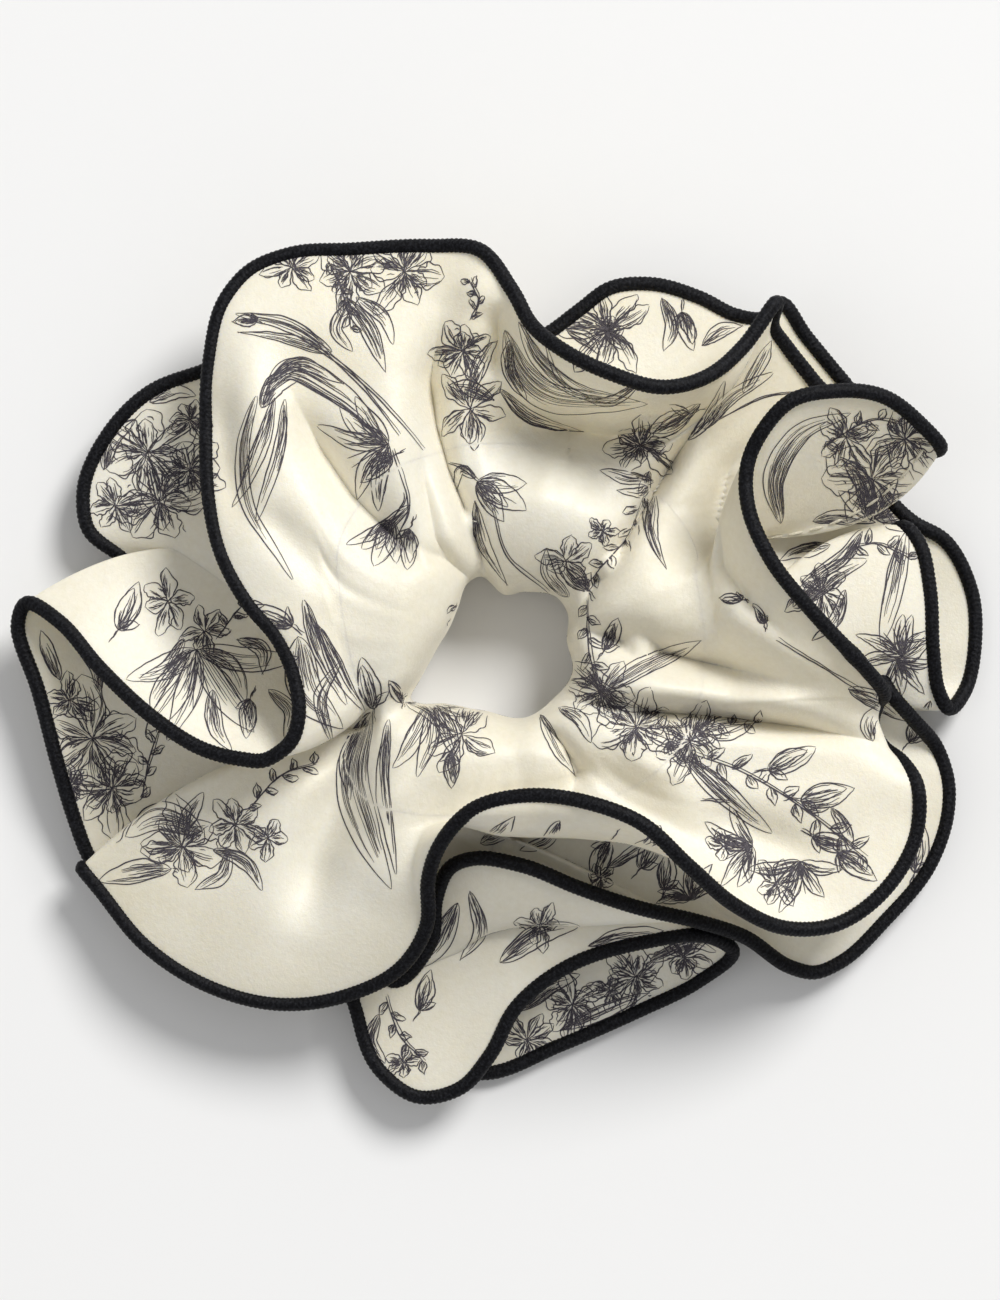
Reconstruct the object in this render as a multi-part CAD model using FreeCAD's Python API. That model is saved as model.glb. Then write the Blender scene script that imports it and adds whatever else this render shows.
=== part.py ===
"""A double-ruffle satin scrunchie lying on a table.

One strip of satin is folded round an elastic and sewn along a channel seam. Inside the seam is the puffed
casing that holds the elastic. Outside it two flounces spread, an upper and a lower one, and each has its hem
bound with black thread. The elastic lets the ring stretch, which the model shows as a left half and a right
half that draw apart along X, so every ring is made as two halves with a hairline gap between them.

The frame's origin is on the table, below the middle of the whole, and +Z is up. The ring itself is drawn about
its own axis and moved to its place at the end.
"""

import FreeCAD, Part
import math
import os

from FreeCAD import Vector

# Driving dimensions, in millimetres and degrees
RING_MIDDLE = Vector(1.8, 4.0, 15.0)  # the hair opening's centre, halfway up the casing
OPENING_RADIUS = 10.5  # the hair opening at rest
LAND_HEIGHT = 6.0  # straight stretch of the opening's wall
CASING_HALF_HEIGHT = 10.0
CASING_CORNER = 7.0
CASING_WALL = 0.8
SEAM_RADIUS = 33.5  # where the casing ends and the flounces start
SEAM_LIP = 1.2  # half the thickness of the layers at the seam
FLAT_AT_SEAM = 3.5  # width of the stretch that the channel stitches hold flat
SATIN_THICKNESS = 1.0
LAYER_GAP = 0.3  # between the upper and the lower flounce at the seam
SEAM_CLEARANCE = 0.05  # between the casing's lip and the flounces
HEM_WIDTH = 2.0  # the bound edge
HEM_HEIGHT = 2.0
HEM_BITE = 0.6  # how far the binding thread reaches over the satin
HEM_SLACK = 0.1  # room round the satin inside the binding
HEM_CORNER = 0.6  # chamfer along the binding's outer corners
HEM_SWELL = 1.25  # how much fatter the binding is where it runs over its own start, at azimuth 0
SPLIT_GAP = 0.1  # degrees left free at each end of a half
ELASTIC_RADIUS = 21.7  # middle of the elastic band
ELASTIC_THICKNESS = 1.2
ELASTIC_WIDTH = 6.0
LAP_ANGLE = 28.0  # the elastic's overlapped ends
THREAD = 0.5
CHANNEL_STITCH_PITCH = 5.0  # degrees
CHANNEL_STITCH_SPAN = 3.4
SEAM_STITCH_LENGTH = 2.2
SEAM_STITCH_GAP = 0.9
SAMPLE_STEP = 4.5  # degrees between the ribs that a flounce's surface passes through
RIB_POINTS = 12

# Each hem as (azimuth in degrees, distance from the centre, height above the table) of the satin's edge
UPPER_HEM = [
    (0, 57, 27), (14, 58, 27), (26, 77, 18), (40, 69, 23), (51, 71, 25), (60, 52, 34), (76, 49, 33),
    (89, 60, 29), (103, 68, 25), (119, 73, 25), (130, 72, 26), (141, 64, 27), (153, 55, 30), (166, 57, 31),
    (177, 78.5, 21), (190, 76, 15), (207, 77, 13), (222, 75, 15), (236, 69, 17), (246, 61, 21), (256, 48, 30),
    (275, 42, 38.5), (295, 43, 36), (308, 49, 28), (316, 65, 19), (325, 72, 16), (334, 74, 15), (343, 71, 18),
]
LOWER_HEM = [
    (0, 76, 5), (10, 75, 6), (19, 70, 5), (31, 71, 4), (42, 70, 7), (52, 71, 11), (61, 65, 12), (71, 62, 12),
    (82, 53, 8), (95, 55, 4), (112, 61, 2), (128, 64, 3), (141, 70, 7), (151, 74, 8), (160, 73, 7),
    (168, 65, 3), (182, 63, 1), (200, 65, 1), (217, 66, 1), (236, 61, 1), (247, 63, 2), (254, 71, 3),
    (261, 73.5, 2), (270, 67, 3), (284, 64, 2), (296, 62, 1), (306, 63, 4), (315, 73, 5), (327, 77.5, 2),
    (338, 77, 4), (349, 71, 7),
]

# How soon each flounce reaches its hem's height on the way out: 1 is halfway, more is sooner
UPPER_HASTE = 1.0
LOWER_HASTE = 1.6

HALVES = {"left": 90.0, "right": -90.0}  # the azimuth at which each half starts
HALF_TURN = 180.0


def polar(radius, azimuth, z=0.0):
    """A point at a distance and azimuth from the ring's axis."""
    a = math.radians(azimuth)
    return Vector(radius * math.cos(a), radius * math.sin(a), z)


def round_the_ring(table, azimuth):
    """The table's values at an azimuth, on a smooth periodic curve through its rows."""
    n = len(table)
    a = azimuth % 360.0
    i = max(k for k in range(n) if table[k][0] <= a)

    def row(k):
        return [table[k % n][0] + 360.0 * (k // n), *table[k % n][1:]]

    before, low, high, after = (row(i + k) for k in (-1, 0, 1, 2))
    width = high[0] - low[0]
    t = (a - low[0]) / width
    values = []
    for k in range(1, len(low)):
        slope_low = (high[k] - before[k]) / (high[0] - before[0]) * width
        slope_high = (after[k] - low[k]) / (after[0] - low[0]) * width
        values.append(
            (2 * t**3 - 3 * t**2 + 1) * low[k]
            + (t**3 - 2 * t**2 + t) * slope_low
            + (3 * t**2 - 2 * t**3) * high[k]
            + (t**3 - t**2) * slope_high
        )
    return values


def rib(table, haste, side, azimuth):
    """Even steps from the seam out to a flounce's hem at one azimuth: side is +1 for the upper flounce."""
    reach, height = round_the_ring(table, azimuth)
    edge = max(height, HEM_HEIGHT / 2) - RING_MIDDLE.z
    level = side * (LAYER_GAP + SATIN_THICKNESS) / 2
    first, flat_until = SEAM_RADIUS + SEAM_CLEARANCE, SEAM_RADIUS + FLAT_AT_SEAM
    points = []
    for i in range(RIB_POINTS):
        radius = first + (reach - first) * i / (RIB_POINTS - 1)
        way_out = min(1.0, max(0.0, (radius - flat_until) / (reach - flat_until)))
        share = 1 - (1 - way_out) ** haste
        points.append(polar(radius, azimuth, level + (edge - level) * share**2 * (3 - 2 * share)))
    return points


def azimuths_of(half):
    """Azimuths of the ribs of one half, a hairline short of the split at both ends."""
    first = HALVES[half] + SPLIT_GAP
    span = HALF_TURN - 2 * SPLIT_GAP
    count = round(span / SAMPLE_STEP)
    return [first + span * i / count for i in range(count + 1)]


def sheet_normals(rows, azimuths):
    """The unit normal at each point of a sheet's grid, kept inside the row's own plane at both ends."""
    last = len(rows) - 1
    normals = []
    for i, row in enumerate(rows):
        across_ends = polar(1.0, azimuths[i] + 90.0)
        normals.append([])
        for j in range(len(row)):
            along = rows[min(i + 1, last)][j] - rows[max(i - 1, 0)][j]
            outward = row[min(j + 1, len(row) - 1)] - row[max(j - 1, 0)]
            normal = outward.cross(along)
            if i in (0, last):
                normal -= across_ends * normal.dot(across_ends)
            normals[-1].append(normal.normalize())
    return normals


def solid_of(faces):
    """The closed solid inside some faces that meet at their edges."""
    shell = Part.makeShell(faces)
    shell.sewShape()
    solid = Part.makeSolid(shell)
    if solid.Volume < 0:
        solid.reverse()
    return solid


def flounce(table, haste, side, half):
    """Half of a flounce of satin: an upper and a lower face, and the walls between their edges."""
    azimuths = azimuths_of(half)
    rows = [rib(table, haste, side, a) for a in azimuths]
    normals = sheet_normals(rows, azimuths)
    faces = []
    for offset in (SATIN_THICKNESS / 2, -SATIN_THICKNESS / 2):
        surface = Part.BSplineSurface()
        surface.interpolate([[p + n * offset for p, n in zip(*pair)] for pair in zip(rows, normals)])
        faces.append(surface.toShape())
    walls = [Part.makeRuledSurface(a, b) for a, b in zip(faces[0].Edges, faces[1].Edges)]
    return solid_of(faces + walls)


def hem_binding(table, haste, side, half):
    """Half of the black thread bound over a flounce's edge: a C that the satin's edge sits in."""
    azimuths = azimuths_of(half)
    rows = [rib(table, haste, side, a) for a in azimuths]
    normals = sheet_normals(rows, azimuths)
    slot, top, far = SATIN_THICKNESS / 2 + HEM_SLACK, HEM_HEIGHT / 2, HEM_WIDTH - HEM_BITE
    upper_half = [
        (HEM_SLACK, slot), (-HEM_BITE, slot), (-HEM_BITE, top), (far - HEM_CORNER, top), (far, top - HEM_CORNER)
    ]
    outline = upper_half + [(out, -up) for out, up in reversed(upper_half)]
    sections = []
    for i, (azimuth, row) in enumerate(zip(azimuths, rows)):
        swell = HEM_SWELL if side > 0 and abs(azimuth) < SAMPLE_STEP else 1.0
        normal = normals[i][-1]
        outward = row[-1] - row[-2]
        if 0 < i < len(rows) - 1:
            outward = (rows[i + 1][-1] - rows[i - 1][-1]).cross(normal)
        outward.normalize()
        section = []
        for out, up in outline:
            reach = out * swell if out > HEM_SLACK else out
            lift = up * swell if abs(up) > slot else up
            section.append(row[-1] + outward * reach + normal * lift)
        sections.append(section)
    runs = []
    for points in zip(*sections):
        curve = Part.BSplineCurve()
        curve.interpolate(list(points))
        runs.append(curve.toShape())
    sides = [Part.makeRuledSurface(a, b) for a, b in zip(runs, runs[1:] + runs[:1])]
    caps = [Part.Face(Part.makePolygon(section + section[:1])) for section in (sections[0], sections[-1])]
    return solid_of(sides + caps)


def casing_outline(inset):
    """The casing's closed section in the XZ plane, drawn in by inset: a puffed tube ending in the seam."""
    inner = OPENING_RADIUS + inset
    top = CASING_HALF_HEIGHT - inset
    land = LAND_HEIGHT / 2
    corner = CASING_CORNER - inset
    lip_radius = SEAM_RADIUS - 3 * inset
    lip = SEAM_LIP - inset / 2
    crown = inner + corner
    bend = Vector(crown - corner * math.cos(math.pi / 4), 0, land + corner * math.sin(math.pi / 4))
    shoulder = Vector(0.5 * (crown + lip_radius) + 1.0, 0, top * 0.86)
    upper = [
        Part.Arc(Vector(inner, 0, land), bend, Vector(crown, 0, top)).toShape(),
        Part.Arc(Vector(crown, 0, top), shoulder, Vector(lip_radius, 0, lip)).toShape(),
    ]
    lower = [e.mirror(Vector(), Vector(0, 0, 1)) for e in upper]
    ends = [Part.makeLine(Vector(r, 0, -h), Vector(r, 0, h)) for r, h in ((inner, land), (lip_radius, lip))]
    return Part.Wire(Part.__sortEdges__(upper + lower + ends))


def turned(section, first, span):
    """A closed outline in the XZ plane turned round the ring's axis, from one azimuth on."""
    face = Part.Face(section)
    face.rotate(Vector(), Vector(0, 0, 1), first)
    return face.revolve(Vector(), Vector(0, 0, 1), span)


def casing(half):
    """Half of the satin tube round the elastic."""
    first, span = HALVES[half] + SPLIT_GAP, HALF_TURN - 2 * SPLIT_GAP
    return turned(casing_outline(0.0), first, span).cut(turned(casing_outline(CASING_WALL), first, span))


def band(inner, first, span):
    """A stretch of elastic, standing on its edge round the ring."""
    corners = [(inner, -1), (inner + ELASTIC_THICKNESS, -1), (inner + ELASTIC_THICKNESS, 1), (inner, 1)]
    corners = [Vector(x, 0, side * ELASTIC_WIDTH / 2) for x, side in corners]
    return turned(Part.makePolygon(corners + corners[:1]), first, span)


def elastic(half):
    """Half of the elastic. The left half carries the lap of the band's two ends."""
    inner = ELASTIC_RADIUS - ELASTIC_THICKNESS / 2
    ring = band(inner, HALVES[half] + SPLIT_GAP, HALF_TURN - 2 * SPLIT_GAP)
    if half == "right":
        return ring
    return ring.fuse(band(inner + ELASTIC_THICKNESS, HALF_TURN - LAP_ANGLE / 2, LAP_ANGLE))


def stitch(start, end):
    """A straight length of thread."""
    return Part.makeCylinder(THREAD / 2, (end - start).Length, start, end - start)


def elastic_tack():
    """The zigzag that sews the elastic's lap: bars on the outside, each sewn through both layers."""
    bars = 7
    inner = ELASTIC_RADIUS - ELASTIC_THICKNESS / 2 - THREAD / 2
    outer = ELASTIC_RADIUS + 1.5 * ELASTIC_THICKNESS + THREAD / 2
    turn = (LAP_ANGLE - 8.0) / (bars - 1)
    first = HALF_TURN - turn * (bars - 1) / 2
    reach = ELASTIC_WIDTH / 2 - 1.0
    solids = []
    for i in range(bars):
        azimuth, height = first + turn * i, reach * (-1) ** i
        solids.append(stitch(polar(outer, azimuth, height), polar(outer, azimuth + turn, -height)))
        solids.append(stitch(polar(inner, azimuth, height), polar(outer, azimuth, height)))
    return solids[0].multiFuse(solids[1:])


def channel_stitches(half):
    """The channel seam's lock stitches: a bar on top, a bar below and the thread between them."""
    radius = SEAM_RADIUS + FLAT_AT_SEAM / 2
    face = LAYER_GAP / 2 + SATIN_THICKNESS + THREAD / 4
    count = int(HALF_TURN / CHANNEL_STITCH_PITCH)
    margin = (CHANNEL_STITCH_PITCH - CHANNEL_STITCH_SPAN) / 2
    solids = []
    for i in range(count):
        start = HALVES[half] + margin + CHANNEL_STITCH_PITCH * i
        end = start + CHANNEL_STITCH_SPAN
        through = stitch(polar(radius, start, -face), polar(radius, start, face))
        bars = [
            stitch(polar(radius, start, side * face), polar(radius, end, side * face)) for side in (1, -1)
        ]
        solids.append(through.multiFuse(bars))
    return Part.makeCompound(solids)


def closing_seam():
    """The stitches that join the strip's two ends, across both flounces at azimuth 0."""
    solids = []
    for table, haste, side in ((UPPER_HEM, UPPER_HASTE, 1), (LOWER_HEM, LOWER_HASTE, -1)):
        lift = Vector(0, 0, side * (SATIN_THICKNESS / 2 + THREAD / 4))
        curve = Part.BSplineCurve()
        curve.interpolate([p + lift for p in rib(table, haste, side, 0.0)[2:]])
        path = curve.toShape()
        at = THREAD
        while at + SEAM_STITCH_LENGTH < path.Length - HEM_BITE:
            ends = [path.valueAt(path.getParameterByLength(at + d)) for d in (0.0, SEAM_STITCH_LENGTH)]
            solids.append(stitch(*ends))
            at += SEAM_STITCH_LENGTH + SEAM_STITCH_GAP
    return Part.makeCompound(solids)


def make_parts():
    """Every node of the scrunchie, by name."""
    parts = {"elastic_tack_stitches": elastic_tack(), "closing_seam_stitches": closing_seam()}
    for half in HALVES:
        parts[f"elastic_{half}"] = elastic(half)
        parts[f"casing_{half}"] = casing(half)
        parts[f"upper_ruffle_{half}"] = flounce(UPPER_HEM, UPPER_HASTE, 1, half)
        parts[f"lower_ruffle_{half}"] = flounce(LOWER_HEM, LOWER_HASTE, -1, half)
        parts[f"upper_hem_binding_{half}"] = hem_binding(UPPER_HEM, UPPER_HASTE, 1, half)
        parts[f"lower_hem_binding_{half}"] = hem_binding(LOWER_HEM, LOWER_HASTE, -1, half)
        parts[f"channel_stitches_{half}"] = channel_stitches(half)
    return parts


def main():
    os.makedirs("parts", exist_ok=True)
    for name, shape in make_parts().items():
        volumes = [s.Volume for s in shape.Solids]
        if not shape.isValid() or min(volumes) <= 0:
            raise ValueError(f"{name} isn't a set of valid closed solids")
        shape.translate(RING_MIDDLE)
        shape.exportStep(f"parts/{name}.step")
        box = shape.BoundBox
        print(f"{name}: {len(volumes)} solid(s), {sum(volumes):.1f} mm3, lowest point {box.ZMin:.2f} mm")


main()
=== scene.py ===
"""A double-ruffle satin scrunchie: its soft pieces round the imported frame, in metres, on a pale table."""
import math
import random

import bpy
import numpy as np
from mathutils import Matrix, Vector
from mathutils.bvhtree import BVHTree


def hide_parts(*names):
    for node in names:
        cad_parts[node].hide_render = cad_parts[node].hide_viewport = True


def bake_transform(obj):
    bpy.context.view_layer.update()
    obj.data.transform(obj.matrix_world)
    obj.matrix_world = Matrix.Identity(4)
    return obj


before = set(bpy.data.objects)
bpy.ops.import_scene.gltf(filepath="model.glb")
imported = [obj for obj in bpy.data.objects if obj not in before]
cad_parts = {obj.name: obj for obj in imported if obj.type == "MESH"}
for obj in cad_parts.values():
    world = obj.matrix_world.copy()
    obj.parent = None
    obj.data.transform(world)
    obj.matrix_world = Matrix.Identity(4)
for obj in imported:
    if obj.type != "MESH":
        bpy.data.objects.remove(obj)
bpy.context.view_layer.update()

MM = 0.001                      # the tables and functions below are in millimetres and degrees
RING = (1.8, 4.0)               # the ring's middle, in plan
CAMERA = (0.67, 3.92, 920.0)    # the camera, straight above
SHARP = 20.0                    # height at which a place in plan is where the camera sees it
VIEW_HEIGHT = 650 / 3           # what the picture shows at that height, from its top to its bottom
SATIN = 0.45                    # the satin's thickness
HEM_RADIUS = 1.12
HEM_START = (60.2, 4.2)         # where the upper hem's overlocking runs over its own start, in plan
SWELLING, SWELLING_REACH = 0.4, 1.6
COLUMNS, ROWS = 1500, 40        # a ruffle's grid: round the ring, and from seam to hem
CASING_COLUMNS, CASING_ROWS = 900, 80
SEAM_DROP = 1.2                 # the lower ruffle leaves the seam this far below the upper one
TUCK, TUCK_HALF = 206, (2.6, 4.0)   # the two places where the upper ruffle is folded under: the middle's
PLEAT, PLEAT_HALF = 40, (12, 19)    # azimuth, and the half width of its full and of its whole extent
UNDER = 1.1                     # what is folded under lies this much lower than what covers it
RUFFLE_FLOOR = {"upper_ruffle": 1.2, "lower_ruffle": 0.75}     # the lowest that the cloth's middle lies
ELASTIC_RADIUS, ELASTIC_THICK, ELASTIC_WIDE = 21.7, 1.2, 6.0
ELASTIC_HEIGHT = 15.0           # its middle, above the table
FULL_TURN = 6.283               # radians
random.seed(7)

# The ruffles' fold lines. Each row is one line from hem to seam: the hem's point, its outer handle and its
# inner handle (x, y and height of each), and the azimuth at which it meets the seam.
# The upper ruffle, counter-clockwise from its pointed fold at the top right.
UPPER = (
    (46.8, 61.9, 24, 43.5, 53.9, 25, 34, 38.9, 20, 54),
    (41.5, 54.8, 27, 42.3, 48.1, 24, 32.3, 38.9, 17, 60),
    (35.7, 49.8, 32, 36.5, 44.8, 26, 29, 38.9, 17, 66),
    (27.3, 47.8, 36, 26.5, 43.6, 30, 21.5, 40.2, 17, 75),
    (19, 50.1, 36, 17.3, 44.8, 29, 15.7, 40.6, 16, 82),
    (10.7, 54.2, 34, 8.7, 47.2, 28, 9.8, 41.4, 16, 89),
    (6, 58.1, 31, 3.2, 51.4, 28, 4.8, 43.1, 17, 94),
    (2.7, 63.9, 28, -1.3, 57.2, 28, -1, 45.6, 20, 99),
    (-2.7, 70.6, 25, -5.2, 62.2, 25, -5.2, 45.6, 22, 104),
    (-11, 71.2, 22, -11.8, 62.2, 25, -9.3, 43.9, 24, 110),
    (-24.3, 70.6, 20, -23.5, 60.6, 25, -16, 42.2, 28.5, 119),
    (-34.3, 69.9, 19, -31.8, 60.6, 25, -21, 38.9, 29.5, 127),
    (-41.3, 66.9, 19, -36.8, 57.2, 25.5, -23.5, 36.4, 30, 134),
    (-45.2, 62.2, 20, -39, 53.9, 26, -25.2, 33.9, 30, 140),
    (-47.7, 52.2, 21, -40.2, 46.4, 27.5, -26.8, 30.6, 30.5, 147),
    (-48.3, 40.6, 22, -40.2, 37.2, 28.5, -27.7, 27.2, 31, 154),
    (-47.8, 28.9, 24, -39.3, 28.1, 29.5, -27.7, 23.1, 31, 161),
    (-45.7, 19.8, 26, -37.7, 19.8, 31, -27.7, 18.1, 31, 168),
    (-41.5, 11.9, 28, -34.3, 12.2, 31, -26, 11.4, 30, 174),
    (-36.3, 5.6, 29, -30.2, 5.6, 32, -25.2, 5.6, 29, 180),
    (-33.3, -1.9, 29.5, -28, -2.8, 31, -24.3, -1.9, 27, 186),
    (-32.8, -6.1, 30, -28.5, -6.4, 31, -24, -4.4, 27, 191),
    (-34, -11.1, 29.5, -28.5, -10.2, 30, -23, -6.4, 26, 197),
    (-37.3, -13.9, 28.5, -29.3, -13.1, 28, -23, -8.1, 24, 202),
    (-42.7, -14.2, 27, -36, -6.9, 20, -27.7, -4.4, 16, 204),
    (-49.3, -12.4, 25, -41, -1.1, 16, -29.3, -1.1, 13, 204.5),
    (-57.7, -6.9, 22, -45.2, 5.6, 13, -30.2, 2.2, 12, 205),
    (-66, 0.9, 18, -49.3, 12.2, 11, -31.8, 5.6, 11, 205.5),
    (-72.7, 8.6, 15, -56, 19.8, 10, -34.3, 12.2, 10, 206),
    (-78, 11.8, 12, -61, 23.9, 9, -36, 28.9, 9, 206.3),
    (-79.7, 8.1, 10, -62.7, 13.9, 7, -37.7, 18.9, 8, 206.6),
    (-76.3, -2.8, 9, -61, 2.2, 6, -38.5, 5.6, 7, 207),
    (-73, -15.2, 8, -60.2, -10.2, 5, -39.3, -4.4, 7, 207.4),
    (-70.3, -24.1, 6, -58.5, -20.2, 5, -39.3, -11.9, 7, 207.8),
    (-68, -30.2, 5, -55.2, -24.4, 5, -37.7, -16.1, 8, 208.2),
    (-65.3, -34.8, 4, -51.8, -26.1, 6, -34.3, -16.9, 9, 208.6),
    (-69, -32.4, 8, -55.2, -18.6, 14, -41, -11.9, 18, 209),
    (-66, -36.1, 9, -53.5, -24.4, 14, -36.8, -15.2, 20, 212),
    (-58.5, -45.2, 11, -48.5, -31.1, 16, -32.7, -18.6, 20.5, 217),
    (-49.3, -51.4, 12, -42.7, -36.1, 18, -28.5, -21.1, 21, 222),
    (-37.7, -54.9, 13, -35.2, -39.4, 19, -24.3, -22.8, 21.5, 228),
    (-26, -53.9, 15, -26.8, -40.2, 21, -20.2, -23.6, 22, 234),
    (-16, -49.1, 19, -21, -38.6, 23, -16, -23.6, 22.5, 240),
    (-11.5, -41.9, 23, -16.8, -35.2, 25.5, -12.7, -22.8, 23.5, 246),
    (-11.3, -34.4, 27, -15.2, -31.1, 28, -10.2, -22.8, 24, 250),
    (-9.8, -29.4, 30, -12.7, -28.6, 31, -7.7, -22.8, 26, 254),
    (-4.7, -23.2, 34, -7.7, -26.1, 35, -4.3, -25.2, 26, 259),
    (4.8, -20.4, 38, 3.2, -26.9, 38, 2, -28.6, 24, 266),
    (14, -21.2, 40, 13.2, -26.9, 38, 10.7, -29.4, 24, 275),
    (24, -24.8, 40, 22.3, -28.6, 36, 19, -29.4, 23, 285),
    (32.3, -32.2, 36, 29.8, -31.1, 31, 24, -27.8, 21, 293),
    (39.8, -38.6, 30, 34.8, -31.9, 26, 27.3, -25.2, 21, 299),
    (48.2, -42.4, 25, 40.7, -32.8, 22.5, 30.7, -23.6, 20, 304),
    (57.3, -41.6, 22, 48.2, -31.9, 21, 34.8, -21.1, 20, 310),
    (64.8, -36.1, 21, 54, -27.8, 20.5, 38.2, -18.6, 20, 316),
    (70.2, -26.1, 20, 59, -21.1, 20.5, 40.7, -15.2, 20, 322),
    (70.2, -18.6, 20, 60.7, -16.1, 21, 43.2, -11.9, 20, 328),
    (67.8, -14.8, 17, 64, -13.6, 22.5, 44, -9.8, 20.5, 332),
    (64.3, -11.9, 13, 69.3, -11.1, 23.5, 45.7, -7.4, 21, 335),
    (62.7, -8.1, 13, 68.3, -5.8, 25, 44.8, -5.2, 21, 338),
    (63.5, -5.2, 16, 67.8, -4.6, 25.5, 43.7, -3.9, 21, 340),
    (64.7, -3.4, 21, 61.5, -3.6, 25.5, 43.2, -3.1, 21, 341),
    (61.5, 0.9, 27, 54, -1.1, 25, 41.5, -1.1, 19, 344),
    (53.2, 9.8, 31, 48.2, 5.6, 28, 39.8, 3.1, 20, 350),
    (45.7, 19.2, 33, 42.3, 12.2, 30, 37.3, 7.2, 21, 356),
    (42, 28.1, 33, 39.5, 20.6, 30, 36, 12.2, 22, 364),
    (42.7, 37.2, 33, 38.2, 30.6, 31, 34.8, 17.2, 22, 372),
    (48.2, 44.8, 34, 41.5, 35.6, 30, 36.5, 18.9, 20, 380),
    (56.5, 47.1, 33, 50.7, 34.8, 25, 40.7, 19.8, 17, 386),
    (64.8, 46.1, 30, 58.2, 30.6, 20, 44, 19.8, 15.5, 390),
    (71.5, 40.9, 26, 63.2, 25.6, 15, 47.3, 20.6, 14, 392.5),
    (74, 38.1, 24, 65.7, 22.2, 14, 49, 21.4, 14, 394),
    (68.2, 38.1, 15, 60.7, 32.2, 11, 47.3, 25.6, 13, 397),
    (61, 42.2, 13, 55.7, 37.2, 12, 44, 28.9, 13, 401),
    (54, 47.6, 14, 50.7, 42.2, 13, 40.7, 32.2, 14, 405),
    (51.5, 50.6, 15, 48.2, 44.8, 15, 38.2, 33.9, 15, 407),
    (48.2, 54.8, 17, 45.7, 48.1, 17, 36, 35.6, 16, 409.5),
    (46, 58.1, 20, 44.3, 51.4, 21, 34.8, 37.2, 18, 412),
)

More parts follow.
